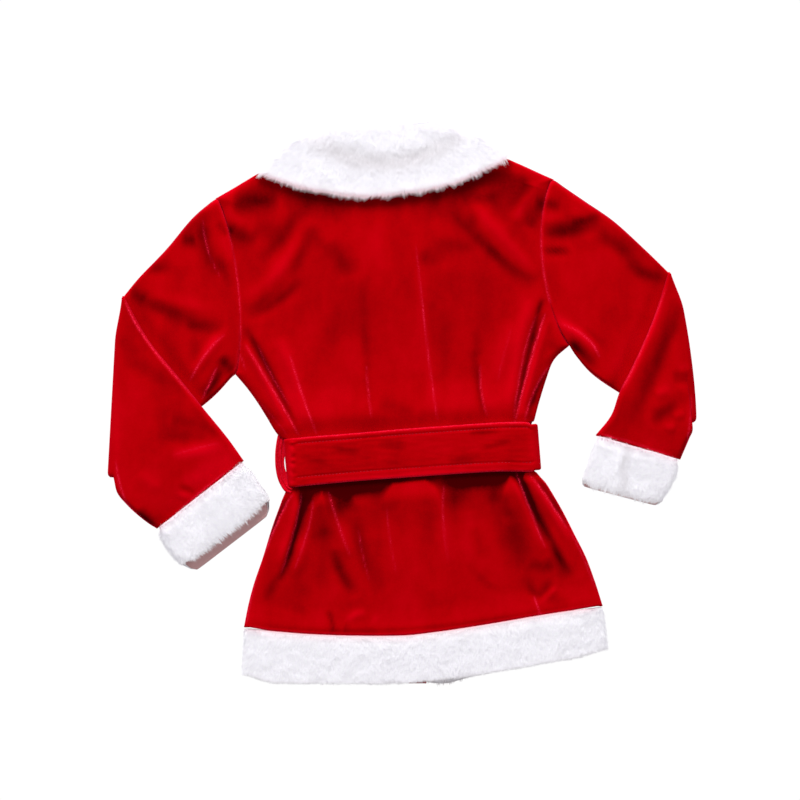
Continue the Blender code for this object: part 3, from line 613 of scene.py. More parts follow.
backLook = {
    "spacing": 2.1,
    # start, middle, end of the crest or trough, half its width, its height
    "folds": (
        (-142, 68, -116, 19, -91, -34, 3.2, -2.6),  # left pleat, above the belt
        (-144, 56, -123, 20, -97, -32, 3.6, 2.4), (-130, 2, -118, -13, -102, -32, 3.5, -1.2),
        (-112, 60, -95, 16, -82, -32, 6, 2.2),
        (125, 92, 114, 46, 101, -18, 2.6, -2.4),  # right pleat, above the belt
        (115, 94, 104, 48, 95, -16, 6, 2), (131, 78, 119, 38, 104, -18, 3.6, 2.2),
        (131, 30, 121, 10, 112, -18, 3, -2),
        (-92, 174, -106, 146, -130, 126, 7, -1.4), (-84, 170, -103, 128, -146, 88, 7, 1.8),  # yoke, left
        (-92, 110, -112, 90, -144, 74, 5, -0.9), (-154, 162, -144, 152, -132, 146, 6, -0.5),
        (-68, 142, -56, 128, -48, 112, 9, -1),
        (53, 162.5, 81, 131, 115, 99, 5, -1.2), (58, 184, 88.5, 149.5, 123, 113.5, 6, 1.8),  # yoke, right
        (106, 180, 113, 166, 120, 148, 5, -0.6), (100, 160, 111, 182, 125, 200, 5, 1),
        (18, 136, 32, 132, 46, 128, 8, -0.7), (128, 104, 108, 72, 96, 36, 9, 1),
        (12, 134, 22, 40, 32, -24, 5, 1.3),  # long soft folds down the back
        (28, 120, 33, 50, 42, -10, 9, -0.8), (-37, 112, -33, 65, -31, 20, 4.5, -1),
        (-36, 60, -31, 20, -26, -20, 6, 0.7), (64, 50, 67, 18, 72, -16, 3.5, -1.4),
        (68, 44, 73, 14, 80, -18, 4, 1.3), (98, 74, 91, 46, 84, 18, 6, 1),
        (-22, -2, -4, -7, 12, -10, 8, -1.2),
        (-101, -72, -112, -100, -126, -132, 4, 1.8),  # left pleat, below the belt
        (-87, -68, -93, -108, -110, -160, 3.2, -3.2), (-95, -72, -99, -108, -113, -146, 4, 1.8),
        (-79, -76, -85, -112, -98, -156, 4.5, 2), (-69, -74, -61, -102, -46, -138, 5, 2.4),
        (-61, -131, -56, -151, -41, -174, 5, -2), (-80, -140, -94, -160, -82, -178, 5.5, -0.8),
        (-41, -100, -36, -132, -16, -170, 6, -1), (-16, -96, -12, -130, -4, -158, 6, 1.2),
        (24, -96, 25, -130, 30, -166, 8, -1.2), (39, -68, 37, -104, 42, -146, 6, 1.5),
        (56, -96, 62, -126, 72, -156, 9, 0.9),
        (100, -56, 120, -100, 150, -156, 3.8, -3.8),  # right pleat, below the belt
        (98, -62, 112, -98, 127, -134, 4.5, 2), (112, -62, 131, -92, 152, -126, 4, 2.4),
        (100, -108, 105, -126, 112, -144, 8, -0.7), (110, -154, 121, -174, 134, -158, 4, -0.9),
        (138, -165, 131, -172, 122, -181, 2.4, 1.4), (115, -172, 119, -180, 124, -189, 2.4, 1),
        (-85, -66, -85, -80, -87, -92, 5, -2),  # hollows where the belt gathers the skirt
        (-76, -76, -48, -79, -14, -76, 6, -1.4), (32, -70, 62, -72, 98, -66, 6, -1.4),
        (-48, -196, -43, -190, -32, -188, 4, 1),  # little dents above the hem
        (-68, -186, -64, -196, -63, -206, 2.5, -1), (-108, -192, -100, -192, -90, -194, 6, 0.7),
    ),
    # the same for painted shading: strokes of painted shade where negative, and painted light where positive
    "nap": (
        (-166, 162, -158, 158, -152, 154, 5, -0.4), (-84, 164, -90, 138, -104, 114, 5, -0.12),
        (-104, 114, -122, 96, -144, 84, 4, -0.25), (24, 186, 36, 184, 50, 180, 8, -0.15),
        (126, 92, 137, 76, 148, 62, 5, 0.35), (-164, 158, -148, 151.5, -130, 146, 8, -0.65),
        (-154, 182, -136, 181, -110, 181, 9, -0.85), (-164, 188, -140, 198, -118, 204, 4, 0.4),
        (-108, 184, -80, 177, -46, 173, 10, -0.3), (16, 178, 40, 170, 66, 158, 12, -0.4),
        (24, 146, 46, 143, 68, 143, 8, -0.45), (42, 186, 57, 183, 72, 186, 9, -0.35),
        (66, 188, 74, 184, 84, 186, 7, -0.3), (112, 158, 117, 168, 128, 183, 7, -0.45),
        (80, 192, 86, 178, 96, 162, 10, -0.4), (44, 176, 56, 158, 72, 142, 4, -0.3),
        (-160, 178, -152, 169, -142, 160, 4.5, 0.35), (-92, 180, -104, 158, -122, 140, 7, -0.35),
        (-108, 158, -122, 156, -136, 156, 7, -0.3), (-86, 172, -92, 140, -104, 112, 6, -0.3),
        (-84, 160, -77, 149, -70, 138, 7, -0.3), (-92, 116, -110, 96, -140, 83, 5, -0.3),
        (-68, 146, -56, 132, -48, 114, 10, -0.25), (12, 134, 24, 129, 38, 126, 8, -0.4),
        (60, 174, 69, 153, 87, 132, 5, -0.35), (76, 142, 97, 124, 120, 108, 4.5, -0.4),
        (66, 167, 93, 137, 122, 116, 5, 0.15), (100, 164, 110, 180, 125, 198, 6, 0.6),
        (118, 184, 126, 180, 133, 174, 7, -0.6), (-80, 60, -60, 70, -40, 60, 30, -0.12),
        (-36, 74, -33, 34, -29, -8, 4, -0.25), (64, 72, 67, 45, 70, 22, 4, -0.25),
        (-144, 74, -134, 54, -118, 28, 5, -0.2), (-140, 44, -122, 12, -100, -26, 4, 0.15),
        (-112, 50, -104, 10, -88, -26, 5, 0.2), (-129, -2, -120, -15, -108, -29, 4, -0.1),
        (126, 96, 123, 88, 120, 80, 3, -0.4), (119, 60, 110, 20, 104, -14, 3, 0.2),
        (134, 40, 126, 20, 120, 4, 3, 0.2), (132, 60, 138, 52, 150, 54, 5, -0.25),
        (-72, -102, -71, -132, -72, -166, 9, -0.35), (-97, -128, -103, -144, -111, -160, 4, -0.4),
        (-108, -148, -116, -162, -124, -178, 4.5, -0.45), (-98, -180, -92, -185, -86, -183, 5, -0.2),
        (-61, -135, -56, -152, -44, -172, 5, -0.4), (105, -62, 111, -78, 119, -96, 3, -0.5),
        (88, -80, 92, -92, 94, -102, 5, -0.35), (-90, -86, -97, -112, -104, -136, 3, -0.3),
        (-52, -82, -46, -90, -42, -100, 5, -0.3), (-84, -120, -74, -117, -64, -112, 6, -0.25),
        (-41, -106, -36, -136, -20, -172, 6, -0.25), (-106, -80, -114, -102, -122, -126, 3.5, -0.6),
        (124, -66, 135, -84, 145, -100, 4, -0.25), (-83, -84, -86, -100, -92, -124, 4, -0.35),
        (128, -136, 138, -148, 148, -158, 6, -0.4), (-50, -198, -45, -190, -32, -187, 3, 0.35),
        (-28, -200, -26, -194, -20, -190, 2.5, 0.25), (-69, -184, -64, -195, -63, -207, 2.5, -0.4),
        (-52, -206, -50, -200, -50, -194, 2, -0.3), (84, -82, 86, -105, 94, -132, 6, -0.2),
        (96, -90, 101, -120, 106, -152, 10, -0.42), (130, -126, 142, -142, 153, -158, 5, -0.5),
        (112, -142, 124, -146, 136, -146, 6, -0.5), (110, -152, 121, -170, 135, -152, 4, -0.25),
        (56, -142, 74, -160, 92, -168, 4, -0.2), (128, -176, 140, -176, 152, -180, 5, -0.3),
        (64, -108, 66, -122, 72, -140, 7, -0.3), (-140, -196, 0, -202, 176, -176, 2, -0.3),
    ),
    # start, middle, end, strength of the painted sheen line, then how dark the painted shade is on the left
    # of that direction and how far
    "creases": (
        (11, 145, 22, 50, 31, -16, 0.75), (-33, 35, -31, 10, -28, -13, 0.6),
        (76, -12, 70, 14, 70, 36, 0.75, 0.35, 3), (97, 68, 90, 42, 85, 20, 0.2),
        (-142, 54, -120, 18, -93, -29, 1, 0.2, 6), (-131, 54, -117, 24, -101, -2, 0.4),
        (-102, 46, -91, 10, -77, -28, 0.8, 0.15, 4), (-103, -29, -116, -13, -132, 5, 0.15, 0.1, 6),
        (100, -18, 115, 40, 128, 82, 1, 0.4, 4.6), (120, 80, 108, 42, 99, -14, 0.6),
        (132, 35, 118, 12, 109, -16, 0.7, 0.35, 5), (-125, -136, -113, -107, -99, -80, 0.9, 0.9, 5),
        (-124, -130, -134, -163, -141, -200, 0.5), (-91, -80, -97, -110, -110, -154, 0.5, 0.35, 4.6),
        (-81, -86, -85, -112, -98, -150, 0.45), (-67, -78, -58, -108, -47, -138, 0.9),
        (-40, -112, -36, -136, -30, -160, 0.4), (-14, -92, -12, -120, -5, -156, 0.3),
        (37, -72, 36, -104, 41, -142, 0.5), (101, -60, 114, -95, 128, -130, 0.75, 0.35, 5),
        (113, -62, 131, -87, 148, -113, 0.95, 0.7, 4.5), (148, -112, 161, -136, 173, -168, 0.35),
        (118, -172, 120, -180, 124, -189, 0.6), (-146, 46, -144, 38, -141, 30, 0.4),
    ),
    "beltShade": (-1.05, 21.5, 6.0),  # painted shadow under the belt: depth, from the belt's middle down to its edge, and how far above it
    "collarShade": (28.0, 0.74),  # painted shadow under the collar: reach, depth
    # x, and how far below the belt the painted shade reaches into the gathered cloth
    "underBelt": (
        (-108, 8), (-98, 7), (-93, 16), (-88, 24), (-81, 18), (-73, 8), (-67, 24), (-60, 34), (-52, 26),
        (-43, 15), (-33, 16), (-25, 18), (-17, 13), (-9, 4), (20, 2), (29, 9), (37, 26), (45, 28), (55, 22),
        (63, 18), (72, 20), (80, 26), (88, 20), (96, 4), (104, 12), (110, 1), (124, 1),
    ),
    # x, y of the collar's lower edge, from which the painted shadow fades
    "underCollar": (
        (-160, 214), (-140, 212), (-125, 203), (-106, 195), (-86, 194), (-58, 189), (-30, 187), (-4, 189),
        (21, 193), (46, 199), (68, 205), (86, 204), (104, 199),
    ),
}


def shadeOfTrim(x, y):  # painted shadow under the collar's edge and the belt's
    depth, toEdge, above = backLook["beltShade"]
    below = beltMiddle(x) - toEdge - y
    reach = np.interp(x, *np.array(backLook["underBelt"], float).T)
    shade = depth * fall((below / reach - 0.3) / 1.1) * (below > -above)
    return shade + edgeShade(x, y, backLook["underCollar"], *backLook["collarShade"])


def gentleLift(x, y):  # how the back falls away slowly from the collar and the belt of the front
    return np.maximum(liftOver(x, y, cut["gentleLift"]), frontLift(x, y))


def backHeight(x, y, edge, arch):
    seam = frontLift(x, y)
    seam += (gentleLift(x, y) - seam) * ramp(edge / 40.0) + 2.0 * cut["wall"] + cut["gap"]
    offBelt = np.abs(y - beltMiddle(x)) - cut["beltHalf"]
    full = cut["loft"] + cut["bunch"] * bell((offBelt - 14.0) / 16.0) + folds(x, y, backLook["folds"])
    full += 0.30 * wander(x, y, 26.0, 3.0) + 0.14 * wander(x, y, 9.0, 8.0)
    crown = np.sqrt(1.0 - (1.0 - np.clip(edge / cut["rounding"], 0.0, 1.0)) ** 2)
    height = seam + arch + np.maximum(full - arch, 0.4) * crown
    toCollar = toLine(x, y, backCollarLine)
    height += (np.minimum(height, cut["collarSeat"]) - height) * fall((toCollar - 34.0) / 24.0)
    underBelt = fall((offBelt + 2.0) / 20.0)
    height += (np.minimum(cut["beltSeat"], seam + 3.0 * crown) - height) * underBelt
    atHem = fall((y - hemSeam(x)) / 26.0)
    return height + (hemMiddle - 0.9 - height) * atHem * crown


armholeShares = np.linspace(0.0, 1.0, 25)
leftSeam = np.stack(armhole(cut["leftArmhole"], armholeShares), axis=-1)
rightSeam = np.stack(armhole(cut["rightArmhole"], armholeShares), axis=-1)
rightSeamShown = rightSeam[:19]  # its lower end lies under the sleeve's edge
hemX = np.linspace(-139.0, 172.0, 60)
hemLine = np.stack([hemX, hemSeam(hemX) + 1.2], axis=-1)


def clothMarks(x, y, creases=(), nap=(), relief=(), seams=()):  # painted shade in troughs and beside creases, painted light on crests and along seams
    distance, force, shade = creaseMarks(x, y, creases, seams)
    toneAndShade = folds(x, y, nap) + np.maximum(shade, -1.1) + np.clip(0.19 * folds(x, y, relief), -1.0, 0.5)
    for line, _ in seams:
        toneAndShade += 0.35 * bell(toLine(x, y, line) / 1.6)
    return {"creaseDistance": distance, "creaseForce": force, "nap": toneAndShade}


def addBack():
    rows = bodyRows(backLook["spacing"])
    side, middle = spread(16, 0.3), spread(112, 0.3)
    x, y, edge, arch = [], [], [], []
    for row in rows:
        leftX, _, rightX, _, leftPleat, rightPleat, _, seamArch = row
        across = np.concatenate([
            leftX + (leftPleat - leftX) * side,
            leftPleat + (rightPleat - leftPleat) * middle[1:],
            rightPleat + (rightX - rightPleat) * side[1:]])
        x.append(across)
        y.append(rowHeights(row, across, 1))
        edge.append(np.minimum(across - leftX, rightX - across))
        arch.append(seamArch * bell(edge[-1] / 14.0))
    x, y, edge, arch = (np.array(v) for v in (x, y, edge, arch))
    neck = ramp((x - cut["neckRise"][1][0]) / 14.0) * ramp((cut["neckRise"][-2][0] - x) / 14.0)
    fromTop = toLine(x, y, np.stack([x[0], y[0]], axis=-1))
    edge = np.minimum(edge, fromTop + cut["rounding"] * neck)
    seams = ((leftSeam, 0.8), (rightSeamShown, 0.8), (hemLine, 0.7))
    marks = clothMarks(x, y, backLook["creases"], backLook["nap"], backLook["folds"], seams)
    marks["nap"] += shadeOfTrim(x, y)
    height = backHeight(x, y, edge, arch)
    return addSheet("backVelvet", x, y, height, marks, cut["shellWall"], "back_panel")


back = addBack()
print("back made")


# ---- the fronts, flat on the floor, and the strip that they meet on

frontLook = {
    "spacing": 5.0, "columns": 34,
    "creases": (
        (-140, 30, -112, 0, -92, -38, 0.6, 0.5, 5), (118, 50, 106, 10, 100, -22, 0.6, 0.5, 5),
        (-92, -80, -100, -110, -112, -150, 0.5, 0.5, 5), (106, -70, 122, -100, 140, -130, 0.5, 0.5, 5),
    ),
}


def addFront(name, isLeft):
    rows = bodyRows(frontLook["spacing"])
    shares = np.linspace(0.0, 1.0, frontLook["columns"])
    seamX = rows[:, 0] if isLeft else rows[:, 2]
    centre = cut["centreFront"] + (-cut["gap"] if isLeft else cut["gap"])
    x = seamX[:, None] + (centre - seamX[:, None]) * shares
    y = np.array([rowHeights(row, across, 2) for row, across in zip(rows, x)])
    if not isLeft:
        x, y = x[:, ::-1], y[:, ::-1]
    marks = clothMarks(x, y, frontLook["creases"])
    node = "front_left" if isLeft else "front_right"
    return addSheet(name, x, y, frontLift(x, y) + cut["wall"], marks, cut["wall"], node)


placketCut = {"halfWidth": 8.0, "wall": 1.6, "top": 92.0, "bottom": -251.0, "columns": 9, "rows": 90}


def addPlacket():
    side, top, bottom = placketCut["halfWidth"], placketCut["top"], placketCut["bottom"]
    x, y = np.meshgrid(
        np.linspace(-side, side, placketCut["columns"]), np.linspace(top, bottom, placketCut["rows"]))
    x = x + cut["centreFront"]
    onFur = ramp((hemSeam(x) + 9.0 - y) / 8.0)
    under = np.max([frontLift(x, y + step) for step in (-10.0, -5.0, 0.0, 5.0, 10.0)], axis=0)
    under += cut["wall"] + cut["gap"]
    under += np.maximum(cut["frontFur"] + cut["gap"] - under, 0.0) * onFur
    wall = placketCut["wall"]
    return addSheet("placketVelvet", x, y, under + wall, clothMarks(x, y), wall, "front_placket")


frontLeft, frontRight = addFront("frontLeftVelvet", True), addFront("frontRightVelvet", False)
placket = addPlacket()
print("fronts made")


# ---- sleeves, each folded back over itself

leftSleeve = {
    "arm": (
        (-168.5, 185, -151.5, 27, half, 4.7, half, 11), (-189.5, 167, -171, 6, half, 6.2, half, 8),
        (-213, 139, -200, -17, half, 6, half, 4), (-237, 114, -232, -43, half, 4, half, 1),
        (-251, 97, -260, -66, half, half, half, 0),
    ),
    "fore": (
        (-251, 97, -260, -66, fore, half, half, 0), (-229, 58, -256.5, -80, fore, 3, 4.6, 0),
        (-204, 27, -247.5, -91, 9, 3.6, 6.2, 0), (-180, -3, -238.5, -99.5, 8.6, 3.8, 6.4, 0),
        (-158, -30, -229, -107, 8, 3.4, 5.4, 0), (-143, -51, -221, -112, cuffHalf, 2.4, 2.6, 0),
    ),
    "armFolds": (
        (-244, 95, -208, 79, -170, 68, 6, -1.3), (-226, 98, -200, 90, -166, 84, 5, 0.8),
        (-172, 166, -163, 142, -158, 122, 5, 0.6), (-162, 63, -176, 45, -190, 24, 5, 2),
        (-160, 42, -163, 32, -173, 14, 4.5, -0.9), (-166, 29, -174, 16, -182, 3, 2, 0.7),
        (-198, 145, -193, 145, -187, 146, 5, -0.4), (-228, 120, -220, 119, -210, 122, 5, -0.6),
    ),
    "foreFolds": (
        (-222, -34, -200, -32, -176, -33, 7, -1), (-202, -76, -194, -79, -186, -82, 3.5, -0.7),
        (-252, 34, -226, 24, -190, 0, 8, -0.6), (-208, -44, -186, -41, -162, -35, 5, 0.8),
        (-201, -84, -197, -83, -190, -86, 4, 0.9), (-238, -62, -228, -70, -216, -76, 6, 0.9),
    ),
    "armCreases": (
        (-180, 166, -175, 138, -163, 112, 0.5), (-160, 63, -177, 45, -192, 20, 0.95),
        (-167, 34, -174, 18, -181, 4, 0.7),
    ),
    "foreCreases": (
        (-250, 94, -227, 53, -179, -3, 1), (-164, -35, -186, -40, -207, -46, 0.3),
        (-220, -114, -183, -80, -143, -50, 0.6), (-258, -50, -250, -84, -236, -101, 0.7),
    ),
    "armPaintedShading": (
        (-184, 166, -178, 142, -164, 114, 7, -0.55), (-248, 101, -213, 141, -170, 185, 4, -0.7),
        (-158, 32, -166, 22, -178, 6, 6, -0.25), (-163, 152, -157, 138, -154, 126, 3.5, 0.25),
        (-168, 164, -161, 157, -157, 151, 4, -0.45), (-168, 134, -161, 121, -156, 104, 4, -0.35),
        (-200, 148, -192, 147, -186, 148, 7, -0.6), (-228, 126, -217, 123, -206, 128, 7, -0.3),
        (-246, 99, -238, 98, -230, 95, 6, -0.5), (-236, 98, -214, 86, -184, 78, 6, -0.3),
        (-216, 78, -200, 72, -178, 69, 5, -0.3), (-196, 70, -178, 69, -160, 68, 7, -0.55),
        (-192, 62, -184, 48, -188, 30, 7, -0.4), (-156, 70, -170, 56, -188, 30, 4, 0.3),
        (-164, 44, -158, 35, -151, 29, 5.5, -0.8), (-163, 32, -171, 19, -181, 5, 5, -0.6),
        (-182, 178, -178, 160, -176, 146, 5, -0.3),
    ),
    "forePaintedShading": (
        (-257, 70, -258, 0, -258, -60, 4, 0.25), (-252, 40, -224, 30, -186, 4, 8, -0.15),
        (-208, -14, -195, -16, -180, -19, 6, -0.35), (-208, -46, -184, -43, -158, -38, 5, 0.4),
        (-192, -68, -165, -54, -148, -50, 10, 0.3), (-184, -18, -174, -22, -164, -30, 5, -0.3),
        (-208, -48, -186, -43, -160, -36, 4.5, 0.4), (-200, -66, -190, -66, -180, -64, 6, 0.3),
        (-202, -73, -194, -75, -186, -80, 2.5, -0.3), (-218, -100, -182, -72, -146, -42, 13, 0.4),
        (-258, 62, -247, 52, -236, 42, 6, -0.2), (-238, -94, -231, -101, -223, -109, 5, -0.7),
        (-215, 40, -208, -2, -222, -40, 24, -0.12),
    ),
}

rightSleeve = {
    "arm": (
        (135.6, 202, 151.2, 53, half, 4.7, half, -17), (145, 195, 156, 43, half, 5.4, half, -15),
        (164, 182, 170, 27, half, 6.4, half, -11), (190, 164, 193, 11, half, 6.4, half, -6),
        (218, 138.5, 222, -5, half, 4.2, half, 1), (238.5, 118.5, 258, -17, half, half, half, 4),
    ),
    "fore": (
        (238.5, 118.5, 258, -17, fore, half, half, 4), (225, 77, 260, -24, fore, 3, 4.8, 5),
        (209, 40, 257.5, -30, 9, 3.6, 6.2, 2), (195, 12, 255, -36, 8.6, 3.8, 6.2, 1),
        (187, -10, 252, -43, 8, 3.4, 5, 0), (173, -28, 249, -50, cuffHalf, 2.4, 2.6, 0),
    ),
    "armFolds": (
        (127, 150, 150, 152, 178, 159, 6, -1.2), (178, 150, 194, 138, 212, 122, 6, -0.7),
        (208, 118, 224, 113, 240, 112, 6, -0.4), (139, 72, 160, 60, 176, 43, 5, 2),
        (127, 135, 137, 135, 150, 135, 4, -0.9), (148, 56, 154, 50, 162, 42, 5, -1),
        (150, 178, 170, 150, 176, 120, 9, 0.6),
    ),
    "foreFolds": (
        (248, 92, 236, 54, 212, -12, 8, -2.2), (242, 20, 250, 20, 260, 20, 4, -0.9),
        (222, -20, 238, -7, 254, 9, 7, -1.2), (226, 8, 232, 10, 240, 12, 4.5, 1),
        (242, -12, 248, -10, 253, -9, 4, 1), (236, -24, 240, -22, 245, -22, 4, 0.9),
    ),
    "armCreases": ((177, 41, 163, 61, 139, 73, 0.95),),
    "foreCreases": (
        (237, 106, 212, 45, 196, 13, 1), (174, -27, 207, -35, 248, -50, 0.6),
        (259, 10, 257, -20, 253, -42, 0.4),
    ),
    "armPaintedShading": (
        (122, 155, 150, 159, 180, 165, 8, -0.65), (134, 202, 188, 168, 237, 121, 4.5, -0.7),
        (126, 92, 137, 76, 152, 60, 5, 0.35), (150, 164, 164, 166, 178, 170, 4, -0.6),
        (121, 181, 130, 180, 142, 178, 5, -0.6), (124, 168, 134, 168, 146, 170, 4, 0.35),
        (124, 138, 137, 138, 152, 138, 3.5, -0.5), (174, 156, 190, 145, 208, 131, 8, -0.45),
        (204, 132, 216, 118, 240, 114, 6.5, -0.6), (150, 148, 166, 146, 184, 140, 10, -0.25),
        (133, 80, 152, 68, 178, 42, 4, 0.3), (162, 68, 172, 60, 182, 50, 4, -0.3),
        (151, 58, 157, 49, 176, 32, 5, -0.7), (214, 80, 200, 46, 188, 20, 9, 0.4),
    ),
    "forePaintedShading": (
        (234, 96, 216, 52, 196, 4, 4, 0.35), (246, 98, 240, 66, 224, 30, 6, -0.25),
        (232, 44, 216, 10, 204, -20, 8, -0.3), (240, 27, 249, 27, 259, 27, 3, -0.3),
        (246, 32, 252, 33, 258, 34, 4, 0.3), (222, -12, 234, -8, 248, 2, 7, -0.3),
        (198, -26, 226, -36, 252, -44, 8, 0.25), (258, 10, 258, -6, 254, -22, 5, 0.25),
    ),
}


def beyond(line, side):  # how far a point is clear of the forearm's edge
    heights, across = [p[1] for p in line[::-1]], [p[0] for p in line[::-1]]

    def room(x, y):
        distance = toLine(x, y, line)
        return ramp((np.where((x - np.interp(y, heights, across)) * side > 0.0, distance, 0.0) - 1.0) / 14.0)

    return room


def sleeveForm(table, clear, seed):
    def form(x, y, fromA, fromB, reach):
        room = clear(x, y) if clear else 1.0
        spare = reach - cut["armHalf"]
        soft = 0.25 * wander(x, y, 22.0, seed) + 0.12 * wander(x, y, 8.0, seed + 5.0)
        return reach - spare + room * np.maximum(spare + folds(x, y, table) + soft, 0.0)

    return form


def addSleeve(name, look, side, seam, node):
    clear = beyond([row[:2] for row in look["fore"]], side)
    forms = (sleeveForm(look["armFolds"], clear, 11.0), sleeveForm(look["foreFolds"], None, 12.0))
    rings, upper = runsToRings((look["arm"], look["fore"]), (2.8, 2.8), 12, forms,
                               shares=spread(62, 0.35), rounding=5.0, pinch=(0.3, 0.26))
    for number, share in ((0, 1.0), (1, 0.25)):  # sewn a little below the edge of the back
        rings[number, :, 0] += 1.3 * side * share
        rings[number, :, 2] = np.maximum(rings[number, :, 2] - 0.3 * share, 0.0)
    x, y = rings[..., 0], rings[..., 1]
    onFore = (upper <= 0)[:, None]
    arm = clothMarks(x, y, look["armCreases"], look["armPaintedShading"], look["armFolds"], ((seam, 0.8),))
    foreMarks = clothMarks(x, y, look["foreCreases"], look["forePaintedShading"], look["foreFolds"])
    marks = {mark: np.where(onFore, foreMarks[mark], arm[mark]) for mark in arm}
    return addTube(name, rings, (velvet,), marks, cut["shellWall"], "velvet", node)


def addSeamRidge(name, seam, top):  # the sewn edge that stands up a little between the back and a sleeve
    steps, around, radius = 60, 6, 0.5
    t = np.linspace(0.0, top, steps)
    x, y = (np.interp(t, armholeShares, seam[:, k])[:, None] for k in (0, 1))
    arch = cut["seamArch"] * np.sin(math.pi * t)[:, None]
    z = frontLift(x, y) + 2.0 * cut["wall"] + cut["gap"] + arch - 0.1
    angle = np.arange(around) * math.pi / 3.0
    points = np.stack([x + radius * np.cos(angle), y + 0.0 * angle, z + radius * np.sin(angle)], axis=-1)
    plain = np.zeros(steps * around)
    # painted light and a painted sheen line all along the ridge
    marks = {"creaseDistance": plain + 0.3, "creaseForce": plain + 0.55, "nap": plain + 0.3}
    return finishPiece(faceOutwards(addMesh(name, points, rodFaces(steps, around), velvet, marks)), "velvet")


addSeamRidge("seamRidgeLeft", leftSeam, 0.98)
addSeamRidge("seamRidgeRight", rightSeam, 0.97)
sleeveLeft = addSleeve("sleeveLeftVelvet", leftSleeve, 1.0, leftSeam, "sleeve_left")
sleeveRight = addSleeve("sleeveRightVelvet", rightSleeve, -1.0, rightSeamShown, "sleeve_right")
print("sleeves made")


# ---- the belt, its stitching and its carrier

beltCut = {
    "left": sections(1.5, 1.5, (12.5, -21.5, 12.5, -65.5), (-50, -26.5, -48, -70), (-101, -31, -97, -74.5)),
    "back": sections(beltMiddleHeight, 1.5, (-101, -31, -97, -74.5), (-80, -29, -78, -72.5),
        (-40, -25.8, -39, -69), (5, -22, 5, -65.8), (50, -18.8, 50, -62.6), (87, -16.4, 87, -60.6),
        (110.5, -16.2, 114.4, -60.8), (114.3, -18.2, 117.6, -59.6)),
    "right": sections(1.5, 1.5, (114.3, -18.2, 117.6, -59.6), (60, -18.3, 61, -62),
        (13.5, -21.4, 13.5, -65.4)),
    "upperStitch": 5.2, "lowerStitch": 8.2, "stitchStep": 3.1,
    # strokes of painted light where positive and painted shade where negative; the first lights the belt's
    # lower edge
    "nap": (
        (-97, -74, 5, -65.6, 117, -59.6, 4, 0.85), (-90, -60, 0, -52, 110, -46, 5, -0.12),
        (-102, -34, -102, -50, -100, -72, 3.5, 0.3), (116, -22, 118, -40, 119, -58, 5, 0.3),
        *((-103, y, -100.5, y, -98, y, 1.8, 0.5) for y in range(-70, -32, 8)),
        (58, -25, 72, -25, 88, -23, 3, -0.5), (70, -38, 84, -36, 98, -31, 3, -0.4),
        (40, -52, 56, -49, 72, -46, 4, -0.3), (-66, -40, -52, -41, -38, -44, 4, -0.4),
        (-92, -47, -80, -50, -66, -53, 4, -0.3), (-24, -37, -10, -37, 4, -39, 4, -0.3),
    ),
}
loopCut = (
    (-112, -25.5, -104, -28, 6, 1.4, 1.4, 0), (-113.6, -33, -104.6, -34, 6, 1.5, 1.5, 0),
    (-114.8, -42, -105.2, -42, 6, 1.6, 1.6, 0), (-115, -50, -106.6, -50, 6, 1.6, 1.6, 0),
    (-114.6, -57, -106.2, -57, 6, 1.6, 1.6, 0), (-113.2, -65, -104.2, -63.5, 6, 1.6, 1.6, 0),
    (-110.6, -72, -102.6, -69.5, 6.6, 1.6, 1.6, 0), (-106, -78.6, -101.6, -73.6, 8.6, 1.5, 1.5, 0),
    (-100.5, -80.6, -99, -75.6, 9.4, 1.3, 1.3, 0),
)


def beltForm(x, y, fromA, fromB, reach):  # grooves under the stitching, with puckers between them
    grooves = -0.6 * bell((fromA - beltCut["upperStitch"]) / 0.9)
    grooves -= 0.6 * bell((fromB - beltCut["lowerStitch"]) / 0.9)
    puckers = 0.16 * wander(x / 5.0, y, 3.2, 21.0) + 0.06 * wander(x / 2.2, y, 2.4, 22.0)
    atEnd = bell((x + 99.6) / 2.6) * 0.8 * np.sin(y * 2.0 * math.pi / 7.5 + 0.8 * np.sin(y * 0.37))
    return reach + 0.3 + grooves + puckers * ramp(fromA / 3.0) * ramp(fromB / 3.0) + atEnd


def addBand(name, runs, spacings, forms, material, marks, arcSteps=12, **options):
    rings, _ = runsToRings(runs, spacings, arcSteps, forms, **options)
    count, around = rings.shape[:2]
    faces = gridFaces(count, around, closed=True).tolist() + capFaces(count, around)
    return faceOutwards(addMesh(name, rings, faces, material, marks(rings[..., 0], rings[..., 1])))


def beltMarks(x, y):
    # painted sheen lines along both edges of the belt
    top, bottom = edgesOf(beltCut["back"])
    return clothMarks(x, y, nap=beltCut["nap"], seams=((top, 0.8), (bottom, 1.0)))


belt = addBand("beltVelvet", runsOf(beltCut), (8.0, 1.6, 8.0), (None, beltForm, None), velvet, beltMarks,
               shares=spread(46, 0.25), rounding=2.2)
finishPiece(belt, "belt_velvet", "belt")


def loopForm(x, y, fromA, fromB, reach):  # a narrow strip, folded, so it has two round edges side by side
    groove = -1.5 * bell((fromA - 3.0) / 0.6) - 2.0 * ramp((fromA - 5.2) / 1.0)
    return reach + 0.3 + groove + 0.2 * wander(x, y, 5.0, 24.0)


def loopMarks(x, y):
    # painted sheen over the whole carrier, and painted light
    return {"creaseDistance": 0.4 + 0.0 * x, "creaseForce": 0.3 + 0.0 * x, "nap": 0.2 + 0.0 * x}


loop = addBand("loopVelvet", (loopCut,), (1.2,), (loopForm,), velvet, loopMarks, shares=spread(22, 0.2),
               rounding=1.2)
finishPiece(loop, "belt_velvet", "belt_loop")


